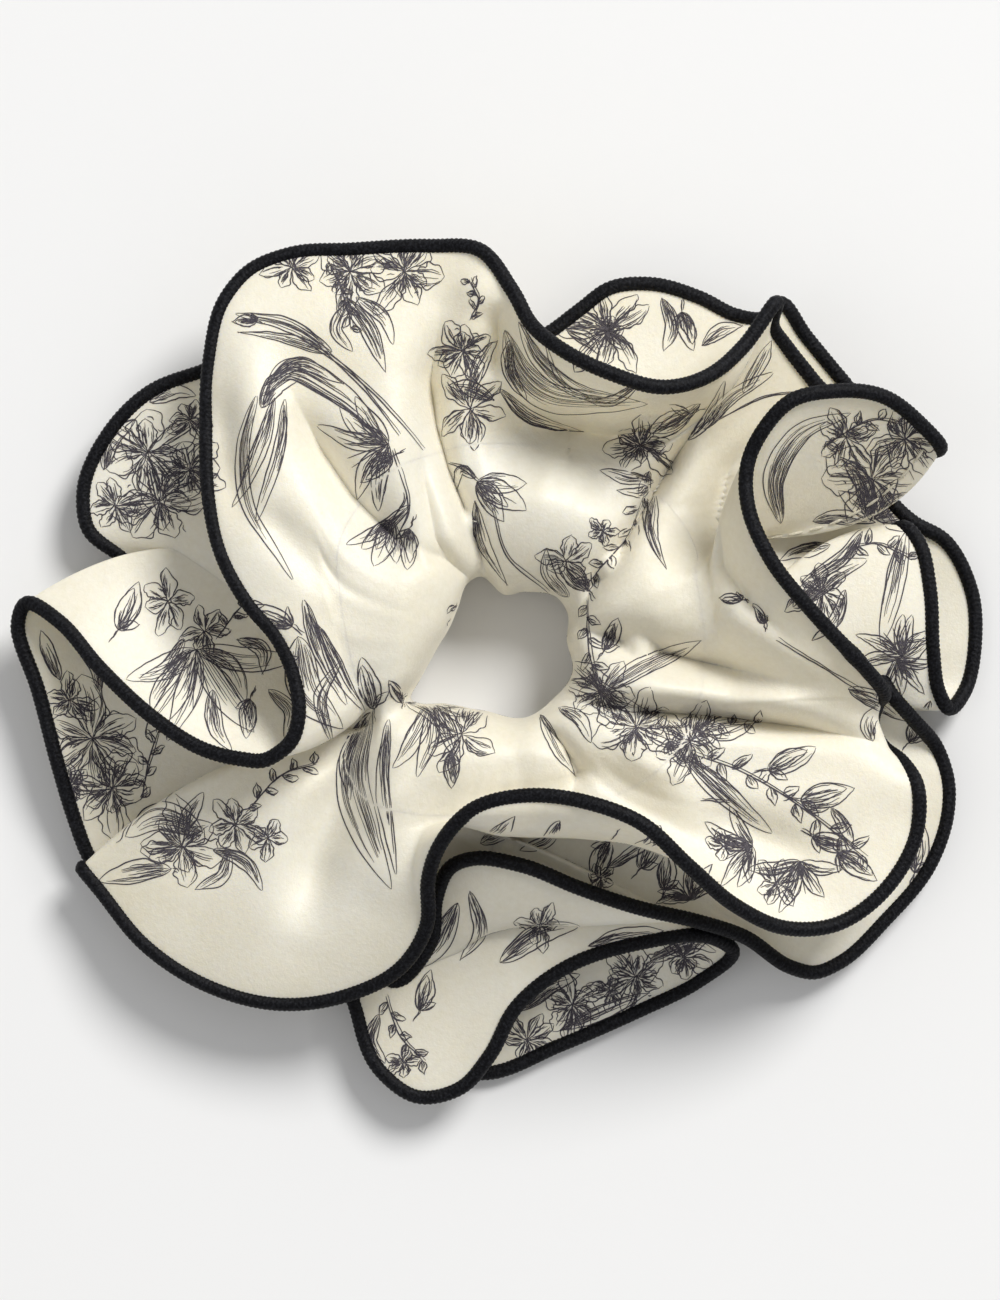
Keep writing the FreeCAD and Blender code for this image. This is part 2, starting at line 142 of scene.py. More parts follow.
# The lower ruffle, counter-clockwise from its lobe at the back.
LOWER = (
    (40.2, 59.6, 8, 34.8, 52.2, 9, 27.3, 40.6, 11, 58),
    (34, 62.6, 7, 29.8, 53.9, 8, 24, 41.4, 10, 64),
    (25.7, 64.9, 6, 23.2, 55.6, 7, 19, 42.2, 10, 71),
    (19, 64.2, 6, 18.2, 54.8, 7, 15.7, 42.2, 10, 77),
    (14, 60.6, 6, 14, 53.1, 7, 12.3, 42.2, 10, 83),
    (8.2, 56.4, 6, 9, 50.6, 7, 9, 41.4, 10, 89),
    (0.7, 53.9, 4, 2.3, 48.9, 6, 4, 40.6, 10, 96),
    (-9.3, 54.8, 4, -6.8, 48.9, 6, -2.7, 40.6, 11, 103),
    (-21, 55.6, 4, -16.8, 48.9, 6, -10.2, 39.8, 12, 111),
    (-32.7, 54.8, 4, -26.8, 48.1, 6, -16.8, 38.1, 13, 120),
    (-41, 53.1, 5, -34.3, 45.6, 7, -21.8, 34.8, 14, 129),
    (-48.8, 50.4, 6, -41, 42.2, 8, -26, 30.6, 14, 138),
    (-57.7, 46.9, 7, -47.7, 38.9, 9, -29.3, 26.4, 14, 145),
    (-64.7, 39.8, 7, -52.7, 33.9, 9, -31, 22.2, 14, 151),
    (-68.7, 30.6, 7, -56, 28.1, 9, -32.7, 18.1, 13, 157),
    (-68, 24.2, 7, -56, 23.9, 8, -33.5, 13.9, 12, 163),
    (-62.3, 19.4, 6, -51.8, 18.9, 7, -32.7, 9.8, 11, 170),
    (-56, 12.2, 4, -47.7, 11.4, 5, -31.8, 5.6, 9, 178),
    (-55.2, 2.2, 3, -46.8, 3.1, 4, -31, 1.4, 8, 187),
    (-59.3, -7.8, 3, -47.7, -4.4, 4, -30.2, -2.8, 8, 195),
    (-60.2, -17.8, 2.5, -47.7, -11.9, 4, -29.3, -7.8, 7, 204),
    (-57.7, -29.4, 2.5, -46.8, -22.8, 4, -26.8, -14.4, 8, 212),
    (-49.3, -40.2, 2.5, -39.3, -31.1, 4, -23.5, -20.2, 8, 220),
    (-37.7, -47.8, 2.5, -30.2, -37.8, 4, -19.3, -23.6, 8, 229),
    (-26, -51.9, 2, -21, -41.9, 3.5, -14.3, -26.9, 8, 238),
    (-15.2, -61.1, 1.6, -11.8, -48.6, 3, -8.5, -31.1, 7, 245),
    (-1.8, -66.6, 2, -1, -51.9, 3, -2.7, -32.8, 7, 249),
    (10.7, -61.9, 2.5, 7.3, -50.2, 4, 2.3, -34.4, 8, 252),
    (24, -56.1, 3, 15.7, -46.9, 5, 4.8, -32.8, 9, 254),
    (34, -51.1, 4, 24, -42.8, 7, 7.3, -31.1, 10, 256),
    (39.5, -46.2, 8, 27.3, -38.6, 11, 9, -29.4, 12, 258),
    (35.7, -43.9, 12, 25.7, -38.6, 14, 9.8, -29.4, 13, 259.5),
    (24, -44.9, 13, 17.3, -38.6, 14, 7.3, -29.4, 13, 260.5),
    (12.3, -48.6, 13, 9.8, -40.2, 14, 4, -29.4, 13, 261.2),
    (3.2, -55.8, 12, 2.3, -44.4, 13, 1.5, -29.4, 13, 262),
    (-1, -63.6, 10, -1.8, -49.4, 12, -1, -29.4, 13, 262.7),
    (-6, -69.1, 8, -6, -51.9, 11, -3.5, -29.4, 13, 263.5),
    (-13.5, -70.4, 7, -11, -51.9, 10, -6, -29.4, 12, 264.3),
    (-19.3, -66.1, 6.5, -13.5, -49.4, 9.5, -7.7, -29.4, 12, 265),
    (-23, -56.9, 6, -16, -42.8, 9, -9.3, -29.4, 12, 266),
    (-24, -51.1, 6, -16, -39.4, 9, -9, -29.4, 12, 268),
    (-20.2, -50.2, 7.5, -13.5, -40.2, 10, -6.8, -29.4, 12, 271),
    (-16.3, -51.4, 8, -11, -47.8, 9.5, -2.7, -31.1, 10, 274),
    (-12.7, -47.8, 11, -9.3, -51.9, 9, -1, -32.8, 9, 275),
    (-10.2, -42.8, 14, -4.3, -54.4, 10, -0.2, -34.4, 8, 276),
    (-9.7, -36.9, 18, -1.8, -55.2, 12, 0.7, -35.2, 8, 277.5),
    (-7.7, -32.4, 21, 1.5, -55.2, 13, 1.5, -36.1, 8, 279),
    (-3.5, -30.8, 23, 5.7, -54.4, 14, 2.7, -36.1, 8, 281),
    (4, -31.9, 24, 10.7, -52.8, 14, 4.8, -36.1, 8, 283.5),
    (14, -35.8, 23, 19, -50.2, 13, 9, -36.1, 8, 287),
    (24, -39.1, 20, 27.3, -46.1, 13, 15.7, -36.1, 8, 291),
    (34, -41.4, 16, 32.3, -42.8, 12, 20.7, -34.4, 9, 295),
    (41.5, -43.9, 12, 35.7, -40.2, 11, 24, -32.8, 10, 299),
    (49, -48.9, 8, 40.7, -41.1, 10, 27.3, -31.1, 10, 303),
    (53.2, -49.8, 6, 44, -40.2, 9, 29.8, -29.4, 10, 306),
    (57.3, -48.1, 5, 47.3, -38.6, 8, 32.3, -27.8, 10, 309),
    (64.8, -41.1, 4, 53.2, -32.8, 8, 36.5, -23.6, 10, 314),
    (72.3, -31.9, 4, 59, -25.2, 8, 39.8, -19.4, 10, 319),
    (75.3, -22.8, 4, 62.3, -17.8, 8, 42.3, -15.2, 10, 324),
    (75.3, -17.8, 4, 63.2, -13.6, 8, 43.2, -12.8, 10, 327),
    (73.7, -12.8, 4.5, 62.3, -10.2, 8, 43.2, -10.2, 10, 330),
    (69.3, -7.4, 10, 60.7, -5.2, 9, 43.2, -6.9, 10, 334),
    (65.5, -2.8, 14, 57.3, 0.6, 9, 42.7, -2.8, 10, 337),
    (62.7, 3.1, 8, 55.7, 3.9, 7, 42.3, -0.2, 9, 340),
    (64, 12.2, 5, 54.8, 10.6, 7, 41.5, 3.9, 9, 343),
    (64.3, 20.9, 8, 54.8, 18.9, 9, 41.5, 10.6, 10, 347),
    (68.2, 24.4, 12, 59, 25.6, 13, 44.8, 18.9, 13, 350),
    (70.7, 21.4, 13.5, 60.7, 19.8, 15, 44.8, 12.2, 15, 351),
    (72.3, 13.9, 14, 62.3, 13.1, 16.5, 44.8, 7.2, 16, 352),
    (72.8, 3.9, 13, 63.2, 3.9, 16, 44.8, 2.2, 16, 353),
    (73.7, -2.8, 10, 64, -1.9, 13, 45.7, -1.9, 14, 354),
    (75.7, -5.9, 7, 65.7, -6.4, 9, 46.5, -4.4, 12, 355),
    (78.2, -2.8, 4, 65.7, -2.8, 5, 47.3, -2.8, 9, 356),
    (79.8, 4.8, 3, 66.5, 5.6, 4, 47.3, 3.9, 8, 357),
    (79.2, 13.9, 3, 65.7, 13.9, 4, 46.5, 8.9, 8, 359),
    (74.8, 22.2, 4.5, 63.2, 20.6, 5, 44.8, 13.9, 8, 362),
    (69.3, 25.4, 6, 59, 23.9, 6, 43.2, 17.2, 8, 366),
    (65.7, 28.9, 5, 56.5, 27.2, 6, 41.5, 21.4, 9, 372),
    (63.2, 36.4, 4.5, 54, 33.9, 6, 39.8, 25.6, 9, 381),
    (61, 43.1, 5, 50.7, 39.8, 6.5, 36.5, 30.6, 10, 391),
    (58.7, 47.6, 7, 49, 43.9, 8, 34, 33.9, 11, 399),
    (56, 50.9, 8, 47.3, 47.2, 9, 32.3, 36.4, 12, 404),
    (51.5, 56.4, 9.5, 44.8, 50.6, 10, 30.7, 38.1, 12, 409),
    (47.3, 61.8, 11, 41.5, 53.9, 11, 29.3, 38.9, 12, 413.5),
    (44.8, 59.2, 9.5, 38.2, 53.1, 10, 28.7, 39.4, 12, 416),
)

# azimuth, radius of the hair opening
HOLE = (
    (8, 10.6), (32, 12.3), (45, 12.5), (72, 10.6), (97, 10.2), (108, 13.2), (118, 13.4), (139, 11.2),
    (172, 11.3), (199, 15.7), (206, 18), (222, 14), (247, 11.4), (288, 12.1), (313, 11.7), (341, 12),
)
# azimuth, radius of the channel seam, its height, height of the casing's crown
SEAM = (
    (0, 35, 22, 24), (20, 35, 21, 24), (35, 36, 16, 22), (45, 36, 15, 21), (60, 36, 15, 22),
    (75, 36.5, 15, 23), (90, 36, 16, 23), (100, 35.5, 20, 24), (110, 35.5, 25, 26), (120, 36, 27.5, 27.5),
    (135, 35.5, 29, 28.5), (150, 34, 29.5, 29), (165, 30, 29.3, 28.8), (185, 27, 27.8, 27.5),
    (197, 26, 24, 25.5), (203, 26, 17.5, 23), (209, 28, 15, 22), (217, 33, 21.5, 23.5),
    (225, 35, 22.5, 24), (240, 33, 23, 25), (255, 30.5, 23, 25), (270, 29, 18, 24), (285, 28.5, 18, 24),
    (300, 30, 21, 24), (320, 32, 22, 23.5), (345, 34, 22.5, 24),
)

# Ridges and valleys across the casing and the ruffles: half width, height, and a line in plan.
FOLDS = (
    # the valley behind the puff at the top
    (3.4, -6.5, 0.7, 46.9, 5.7, 43.9, 11.5, 41.4, 19, 40.1, 25.7, 40.9, 31.5, 43.4, 35.3, 46.8),
    # left of the puff
    (2.6, -8.5, -9, 60.6, -11, 48.9, -10, 41.4, -8, 34.2, -5, 26.9, -2.7, 20.2, 0.7, 10.6),
    (9, 1.5, 4, 33.9, 12.3, 28.9, 17.3, 32.2),  # the puff itself
    (1.6, -8.0, 13.3, 8.6, 16, 14.2, 21, 21.2, 25.7, 28.9, 30.3, 36.4, 36, 45.6),  # right of the puff
    # fold from the upper lobe to the hole
    (4.0, -7.5, -34, 46.9, -29, 37.2, -24, 29.8, -16.5, 22.1, -10, 15.6),
    (1.8, -3.0, -13, 20.9, -8.3, 18.9, -3.3, 14.9),  # hollow at its foot
    (3.2, -2.0, -39.7, 28.9, -35.2, 23.1, -31, 18.9, -25.2, 12.2),  # soft fold beside the left hem
    (6.0, -1.6, -37.7, 57.2, -27.7, 47.2, -16, 42.2),  # upper left hollow
    (3.0, 1.8, -2.7, 68.6, -4, 58.9, -4.3, 52.2),  # collar ridge
    (3.0, -4.6, 0.7, 62.2, 0.3, 53.9, -0.7, 48.1),  # collar hollow
    (3.3, -9.0, 11.7, 8.6, 18.3, 6.2, 26.5, 3.9, 36, 1.6, 49, -1.4),  # right of the hole
    (2.4, 2.2, 17.3, -1.8, 27.3, -2.8, 42.3, -4.1, 60.7, -7.8),  # below it, a ridge
    (2.0, -7.5, 8.7, -4.4, 24, -6.2, 37.3, -7.2, 50.7, -8.9, 64, -11.4),  # lower right crease
    (1.7, -4.2, 6.7, -7.1, 11.2, -11.9, 13.5, -16.1, 12.3, -21.1),  # short crease
    (3.0, 1.6, 34, 18.9, 39.8, 9.8, 49, 3.1, 59, -2.8),  # upper ridge at the right
    # right of the bright ridge
    (2.5, -4.0, 44.7, 42.2, 39.2, 34.2, 37.2, 25.9, 38, 17.8, 42.2, 11.6, 51.3, 3.1),
    (3.0, -1.3, 34, -21.1, 44, -26.9, 55.7, -31.1),  # under the sprig
    (4.4, -4.6, -20.7, -6.9, -26, -19.4, -29.7, -29.4, -33.3, -45.2),  # lower left valley
    (4.5, 1.6, -16.8, -11.9, -17.3, -26.1, -19.3, -41.1),  # lower left ridge
    (4.0, -1.4, -57.7, -29.4, -47.7, -29.4, -39.3, -26.1),  # lower left hollow
    (2.0, -3.0, -13.5, 42.2, -12, 32.2, -10, 22.2, -5.7, 15.9),  # valley to the hole at the left
    (3.0, -1.6, -45.2, 48.9, -44, 33.9, -41, 22.2),  # left edge hollow
    (3.5, 1.4, -41, 57.2, -40.7, 42.2, -39.7, 30.6),  # left edge ridge
    (4.0, 1.0, 32.3, -19.4, 47.3, -21.1, 64, -21.1),  # lower right ridge
    (3.5, -1.6, -7.7, -19.4, 4, -16.9, 17.3, -16.9, 30.7, -21.1),  # hump's root
    (4.0, 1.8, 19, -13.1, 27.3, -16.9, 37.3, -26.1),  # hump beside the short crease
)


def through(knots, values, x):
    """A smooth curve that passes through values at knots, along the first axis, read at x."""
    def upright(a):
        return a.reshape(-1, *[1] * (values.ndim - 1))

    h = upright(np.diff(knots))
    slope = np.diff(values, axis=0) / h
    inner = (slope[:-1] * h[1:] + slope[1:] * h[:-1]) / (h[1:] + h[:-1])
    m = np.concatenate((slope[:1], inner, slope[-1:]))
    k = np.clip(np.searchsorted(knots, x, side="right") - 1, 0, len(knots) - 2)
    t = upright(x - knots[k]) / h[k]
    return ((2 * t**3 - 3 * t**2 + 1) * values[k] + (t**3 - 2 * t**2 + t) * h[k] * m[k]
            + (-2 * t**3 + 3 * t**2) * values[k + 1] + (t**3 - t**2) * h[k] * m[k + 1])


def periodic(rows, column, azimuth):
    """A table's column as a smooth curve round the ring."""
    table = np.array(rows, float)
    around = np.concatenate([table[:, 0] + turn for turn in (-360, 0, 360)])
    return through(around, np.tile(table[:, column], 3), np.mod(azimuth, 360.0))


def step_between(x, low, high):
    """0 below low, 1 above high, and smooth between them."""
    t = np.clip((x - low) / (high - low), 0, 1)
    return t * t * (3 - 2 * t)


def placed(p):
    """Points given in plan as the camera sees them, at their real places."""
    out = np.array(p, float)
    k = (CAMERA[2] - out[..., 2]) / (CAMERA[2] - SHARP)
    for i in (0, 1):
        out[..., i] = CAMERA[i] + (out[..., i] - CAMERA[i]) * k
    return out


def ring_point(azimuth, radius, height):
    a = np.radians(azimuth)
    return np.stack((RING[0] + radius * np.cos(a), RING[1] + radius * np.sin(a), height + 0 * a), -1)


def seam_line(azimuth, drop):
    return placed(ring_point(azimuth, periodic(SEAM, 1, azimuth), periodic(SEAM, 2, azimuth) - drop))


def loft(rows, drop):
    """A ruffle's points, from the seam (first) to the hem (last), and its columns' azimuths."""
    rows = np.array(rows, float)
    n, azimuth = len(rows), rows[:, -1]
    hem, outer, inner = (placed(rows[:, k:k + 3]) for k in (0, 3, 6))
    lines = np.stack((seam_line(azimuth, drop), inner, outer, hem), 1)
    state = np.column_stack((lines.reshape(n, 12), azimuth))
    turn = np.append(np.zeros(12), 360.0)
    state = np.concatenate((state - turn, state, state + turn))
    length = np.linalg.norm(np.diff(state[:, :12].reshape(-1, 4, 3), axis=0), axis=2)
    knot = np.concatenate(([0], np.cumsum(0.65 * length[:, 3] + 0.35 * length[:, 2] + 0.3)))
    state = through(knot, state, knot[n] + (knot[2 * n] - knot[n]) * np.arange(COLUMNS) / COLUMNS)
    azimuth = state[:, -1]
    control = state[:, :12].reshape(-1, 4, 1, 3)
    control[:, 0, 0] = seam_line(azimuth, drop)
    c0, c1, c2, c3 = (control[:, i] for i in range(4))
    v = np.linspace(0, 1, ROWS)[None, :, None]
    grid = (1 - v)**3 * c0 + 3 * (1 - v)**2 * v * c1 + 3 * (1 - v) * v**2 * c2 + v**3 * c3
    return grid, azimuth


def casing_grid():
    """The casing's points, from the seam over the crown, down the hole and back below, and azimuths."""
    azimuth = np.linspace(0, 360, CASING_COLUMNS, endpoint=False)
    hole = periodic(HOLE, 1, azimuth)
    seam, low, crown = (periodic(SEAM, column, azimuth) for column in (1, 2, 3))
    wide = seam - hole
    section = ((seam, low), (seam - 0.18 * wide, low + 0.5 * (crown - low)), (seam - 0.42 * wide, crown),
               (hole + 0.36 * wide, crown - 0.6), (hole + 0.14 * wide, crown - 4), (hole, crown - 11),
               (hole + 0.02 * wide, 7), (hole + 0.16 * wide, 2.6), (hole + 0.4 * wide, 0.9),
               (seam - 0.3 * wide, 1.6), (seam - 0.1 * wide, 0.5 * low), (seam, low - 1.0))
    key = np.stack([placed(ring_point(azimuth, radius, height)) for radius, height in section])
    step = np.linalg.norm(np.diff(key, axis=0), axis=2).mean(1)
    knot = np.concatenate(([0], np.cumsum(step)))
    grid = through(knot, key, np.linspace(0, knot[-1], CASING_ROWS))
    return grid.transpose(1, 0, 2), azimuth


def normals(grid):
    n = np.cross(np.roll(grid, -1, 0) - np.roll(grid, 1, 0), np.gradient(grid, axis=1))
    return n / np.maximum(np.linalg.norm(n, axis=2, keepdims=True), 1e-9)


# size, number of gathers round the ring, and how they are bent: by how much, how often and from where
GATHERS = ((0.8, 17, 1.6, 5, 0), (0.5, 29, 2.4, 4, 1), (0.22, 53, 2.0, 7, 0))


def gathered(grid, azimuth, height, reach):
    """The grid with small uneven gathers that run across the seam and die out within about its reach."""
    phase = np.radians(azimuth)
    wave = sum(size * np.sin(count * phase + bend * np.sin(slow * phase + start))
               for size, count, bend, slow, start in GATHERS)
    v = np.linspace(0, 1, grid.shape[1])
    fade = np.exp(-(v / reach)**1.5)
    lean = np.clip(v / 0.12, 0, 1)[None, :, None]
    n = normals(grid)
    n = n * np.where(n[..., 2:] < 0, -1, 1) * lean + np.array([0, 0, 1.0]) * (1 - lean)
    return grid + n * (height * fade[None, :] * wave[:, None])[..., None]


def eased_seam(case, case_azimuth, grid, azimuth, amount, reach=10, passes=60):
    """The casing and a ruffle with the crease at their common seam eased into one curve."""
    n = len(grid)
    around = np.concatenate((azimuth - 360, azimuth, azimuth + 360))
    to_grid = np.interp(case_azimuth, around, np.arange(-n, 2 * n))
    to_case = np.mod(azimuth, 360) / 360 * len(case)
    new_case, new_grid = case.copy(), grid.copy()
    fade = np.sin(np.linspace(0, math.pi, 2 * reach + 1))[None, :, None]
    for near, far, degrees, where in ((new_case, grid, case_azimuth, to_grid),
                                      (new_grid, case, azimuth, to_case)):
        low = np.floor(where).astype(int)
        part = (where - low)[:, None, None]
        other = far[low % len(far), :reach + 1] * (1 - part) + far[(low + 1) % len(far), :reach + 1] * part
        first = np.concatenate((other[:, :0:-1], near[:, :reach + 1]), 1)
        both = first.copy()
        for _ in range(passes):
            both[:, 1:-1] += (0.25 * (both[:, :-2] + both[:, 2:]) - 0.5 * both[:, 1:-1]) * fade[:, 1:-1]
        both = first + (both - first) * amount(degrees)[:, None, None]
        near[:, :reach + 1] = both[:, reach:]
    return new_case, new_grid


def lift_at(plan):
    """The height that the folds add at each point in plan."""
    lift = np.zeros(len(plan))
    for width, height, *line in FOLDS:
        p = np.array(line, float).reshape(-1, 2)
        best, place, run = np.full(len(plan), np.inf), np.zeros(len(plan)), 0.0
        for a, b in zip(p[:-1], p[1:]):
            d = b - a
            length = np.linalg.norm(d)
            t = np.clip(((plan - a) @ d) / length**2, 0, 1)
            away = np.linalg.norm(plan - a - t[:, None] * d, axis=1)
            place = np.where(away < best, run + t * length, place)
            best = np.minimum(best, away)
            run += length
        ends = np.minimum(place, run - place) / run
        sharp = 1.25 if height < -2.5 and width <= 4 else 2.0
        lift += height * (0.1 + 0.9 * step_between(ends, 0.0, 0.33)) * np.exp(-(best / width)**sharp)
    return lift


def pressed(grid, weight):
    """The grid with the folds in it, as far as each point's weight lets them in."""
    out = grid.copy()
    out[..., 2] += lift_at(grid[..., :2].reshape(-1, 2)).reshape(grid.shape[:2]) * weight
    return out


def folded_under(azimuth, middle, half):
    """1 in the middle of a place where the upper ruffle is folded under, 0 outside it."""
    return 1 - step_between(np.abs(np.mod(azimuth, 360) - middle), *half)


def on_top(azimuth):
    """1 where the upper ruffle's root can be seen, 0 where it is folded under."""
    under = folded_under(azimuth, TUCK, TUCK_HALF) + folded_under(azimuth, PLEAT, PLEAT_HALF)
    return 1 - np.clip(under, 0, 1)


def rings(line, one, other, radius, sides):
    """Circles round a line's points, between two directions across it."""
    turn = (np.arange(sides) * 2 * math.pi / sides)[None, :, None]
    return line[:, None] + radius[..., None] * (np.cos(turn) * one[:, None] + np.sin(turn) * other[:, None])


def wound_tube(line, radius, sides=12, groove=0.16, pitch=0.8):
    """A closed round tube on a closed line, with the grooves of the thread that is wound round it."""
    tangent = np.roll(line, -1, 0) - np.roll(line, 1, 0)
    tangent /= np.linalg.norm(tangent, axis=1, keepdims=True)
    up, u = np.zeros_like(line), np.array([0.0, 0.0, 1.0])
    for i, t in enumerate(tangent):
        u = u - t * (u @ t)
        u /= np.linalg.norm(u)
        up[i] = u
    length = np.concatenate(([0], np.cumsum(np.linalg.norm(np.diff(line, axis=0), axis=1))))
    turn = np.arange(sides) * 2 * math.pi / sides
    ripple = 1 + groove * np.abs(np.sin(math.pi * length[:, None] / pitch + turn[None, :]))
    return rings(line, up, np.cross(tangent, up), radius[:, None] * ripple, sides)


def thread_along(points, radius=0.24, sides=7):
    """A round thread on a short line, its ends drawn in."""
    line = np.array(points, float)
    tangent = np.gradient(line, axis=0)
    tangent /= np.linalg.norm(tangent, axis=1, keepdims=True)
    pick = np.array([0.0, 0.0, 1.0]) if abs(tangent[0, 2]) < 0.9 else np.array([1.0, 0.0, 0.0])
    side = np.cross(tangent, pick)
    side /= np.linalg.norm(side, axis=1, keepdims=True)
    size = np.full((len(line), 1), radius)
    size[0] = size[-1] = 0.55 * radius
    return rings(line, side, np.cross(side, tangent), size, sides)


def hem_line(edge, spacing=0.24, passes=3):
    """A ruffle's edge, rounded a little and at even spacing, high enough for a hem on the table."""
    for _ in range(passes):
        edge = 0.5 * edge + 0.25 * (np.roll(edge, 1, 0) + np.roll(edge, -1, 0))
    closed = np.vstack((edge, edge[:1]))
    length = np.concatenate(([0], np.cumsum(np.linalg.norm(np.diff(closed, axis=0), axis=1))))
    n = int(round(length[-1] / spacing))
    x = np.arange(n) * length[-1] / n
    line = np.stack([np.interp(x, length, closed[:, i]) for i in range(3)], 1)
    line[:, 2] = np.maximum(line[:, 2], HEM_RADIUS + 0.1)
    return line


# ---- materials ----
def add_node(tree, kind, inputs, **settings):
    """A shader node. Each input is a value, or another node's output."""
    node = tree.nodes.new(kind)
    for name, value in settings.items():
        setattr(node, name, value)
    for name, value in inputs.items():
        if isinstance(value, bpy.types.NodeSocket):
            tree.links.new(value, node.inputs[name])
        else:
            node.inputs[name].default_value = value
    return node


def new_material(name):
    """A material, its empty node tree and the place that its textures go by."""
    material = bpy.data.materials.new(name)
    material.use_nodes = True
    material.node_tree.nodes.clear()
    place = add_node(material.node_tree, "ShaderNodeTexCoord", {}).outputs["Object"]
    return material, material.node_tree, place


def noise(tree, place, scale, detail=2.0, roughness=0.5):
    inputs = {"Scale": scale, "Detail": detail, "Roughness": roughness, "Vector": place}
    return add_node(tree, "ShaderNodeTexNoise", inputs).outputs[0]


def ramp(tree, value, *stops):
    node = add_node(tree, "ShaderNodeValToRGB", {0: value})
    elements = node.color_ramp.elements
    for element, (place, colour) in zip(elements, (stops[0], stops[-1])):
        element.position, element.color = place, (*colour, 1)
    for place, colour in stops[1:-1]:
        elements.new(place).color = (*colour, 1)
    return node.outputs[0]


def bump(tree, height, depth):
    inputs = {"Strength": 0.7, "Distance": depth * MM, "Height": height}
    return add_node(tree, "ShaderNodeBump", inputs).outputs[0]


def finish_material(tree, inputs):
    shader = add_node(tree, "ShaderNodeBsdfPrincipled", inputs)
    add_node(tree, "ShaderNodeOutputMaterial", {"Surface": shader.outputs[0]})


def satin_material():
    """Ivory satin: a soft sheen, slubs and cloudy patches, and light that comes through it a little."""
    material, tree, place = new_material("satin")
    slub = noise(tree, place, 900, 3, 0.6)
    mottle = add_node(tree, "ShaderNodeMath", {0: slub, 1: 0.5, 2: noise(tree, place, 45)},
                      operation="MULTIPLY_ADD").outputs[0]
    finish_material(tree, {
        "Base Color": ramp(tree, mottle, (0.35, (0.757, 0.70, 0.55)), (0.7, (0.832, 0.778, 0.645)),
                           (1.0, (0.888, 0.845, 0.725))),
        "Roughness": 0.46, "Specular IOR Level": 0.45,
        "Sheen Weight": 0.25, "Sheen Roughness": 0.4, "Sheen Tint": (1.0, 0.96, 0.84, 1),
        "Subsurface Weight": 0.35, "Subsurface Radius": (1.0, 0.85, 0.55), "Subsurface Scale": 0.0012,
        "Normal": bump(tree, noise(tree, place, 1700, 2, 0.7), 0.1)})
    return material


def thread_material(name, dark, light, scale, rough):
    """Thread or ink, flecked between a dark and a light colour."""
    material, tree, place = new_material(name)
    fleck = noise(tree, place, scale, 3, 0.7)
    finish_material(tree, {"Base Color": ramp(tree, fleck, (0.45, dark), (0.75, light)), "Roughness": rough,
                           "Specular IOR Level": 0.12, "Normal": bump(tree, fleck, 0.2)})
    return material


def table_material():
    material, tree, place = new_material("table_paint")
    paint = ramp(tree, noise(tree, place, 3), (0.3, (0.848, 0.85, 0.852)), (0.7, (0.863, 0.865, 0.868)))
    finish_material(tree, {"Base Color": paint, "Roughness": 0.75, "Specular IOR Level": 0.2})
    return material


satin = satin_material()
# The hem thread's lighter flecks are partly its own uneven black and partly painted glints of its gloss.
hem_thread = thread_material("hem_thread", (0.002, 0.002, 0.003), (0.022, 0.023, 0.028), 2200, 0.5)
ink = thread_material("ink", (0.06, 0.054, 0.064), (0.13, 0.12, 0.135), 1500, 0.6)
sewing_thread = thread_material("sewing_thread", (0.62, 0.58, 0.46), (0.84, 0.80, 0.68), 2600, 0.55)
elastic_cord = thread_material("elastic_cord", (0.74, 0.73, 0.70), (0.88, 0.87, 0.84), 1400, 0.7)


# ---- objects from grids of points ----
def new_object(name, points, faces, material):
    """An object of points in mm."""
    mesh = bpy.data.meshes.new(name)
    mesh.from_pydata((np.reshape(points, (-1, 3)) * MM).tolist(), [], faces)
    mesh.materials.append(material)
    obj = bpy.data.objects.new(name, mesh)
    bpy.context.scene.collection.objects.link(obj)
    return obj


def stretching(obj, slot, *nodes):
    """Bakes an object's transform into its points and hides the frame's parts that it stands for; slot,
    what it is made of, is not used.
    """
    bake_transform(obj)
    if nodes:
        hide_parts(*nodes)
    return obj


def halves(name):
    return (name + "_left", name + "_right")


def smooth_surface(name, grid, material, closed_across=False):
    """A grid of points as an even surface, closed round the ring, and across it for a tube."""
    n, m, _ = grid.shape
    a = np.arange(n * m).reshape(n, m)
    faces = np.stack((a, np.roll(a, -1, 0), np.roll(a, (-1, -1), (0, 1)), np.roll(a, -1, 1)), -1)
    faces = faces[:, :m if closed_across else m - 1].reshape(-1, 4)
    obj = new_object(name, grid, faces.tolist(), material)
    obj.data.polygons.foreach_set("use_smooth", [True] * len(faces))
    return obj


def joined(name, grids, material):
    """One object of several short bars, each a grid that is closed across, with a face at both ends."""
    points, faces = [], []
    for grid in grids:
        n, m, _ = grid.shape
        first = len(points)
        points.extend(grid.reshape(-1, 3).tolist())
        for i in range(n - 1):
            here, there = first + i * m, first + (i + 1) * m
            faces.extend((here + j, there + j, there + (j + 1) % m, here + (j + 1) % m) for j in range(m))
        faces.append(tuple(range(first, first + m)))
        faces.append(tuple(range(first + n * m - 1, first + (n - 1) * m - 1, -1)))
    return new_object(name, points, faces, material)


# ---- the soft pieces ----
upper, upper_azimuth = loft(UPPER, 0.0)
lower, lower_azimuth = loft(LOWER, SEAM_DROP)
case, case_azimuth = casing_grid()
upper = gathered(upper, upper_azimuth, 0.3, 0.3)
lower = gathered(lower, lower_azimuth, 0.42, 0.3)
case = gathered(case, case_azimuth, 0.3, 0.11)
case, upper = eased_seam(case, case_azimuth, upper, upper_azimuth, on_top)

outward = np.linspace(0, 1, ROWS)[None, :]
upper = pressed(upper, 1 - folded_under(upper_azimuth, TUCK, TUCK_HALF)[:, None])
upper[..., 2] -= UNDER * (1 - on_top(upper_azimuth))[:, None] * np.sin(math.pi * outward)
lower = pressed(lower, 1 - step_between(outward, 0.45, 0.8))
for name, grid in (("upper_ruffle", upper), ("lower_ruffle", lower)):
    grid[..., 2] = np.maximum(grid[..., 2], RUFFLE_FLOOR[name])

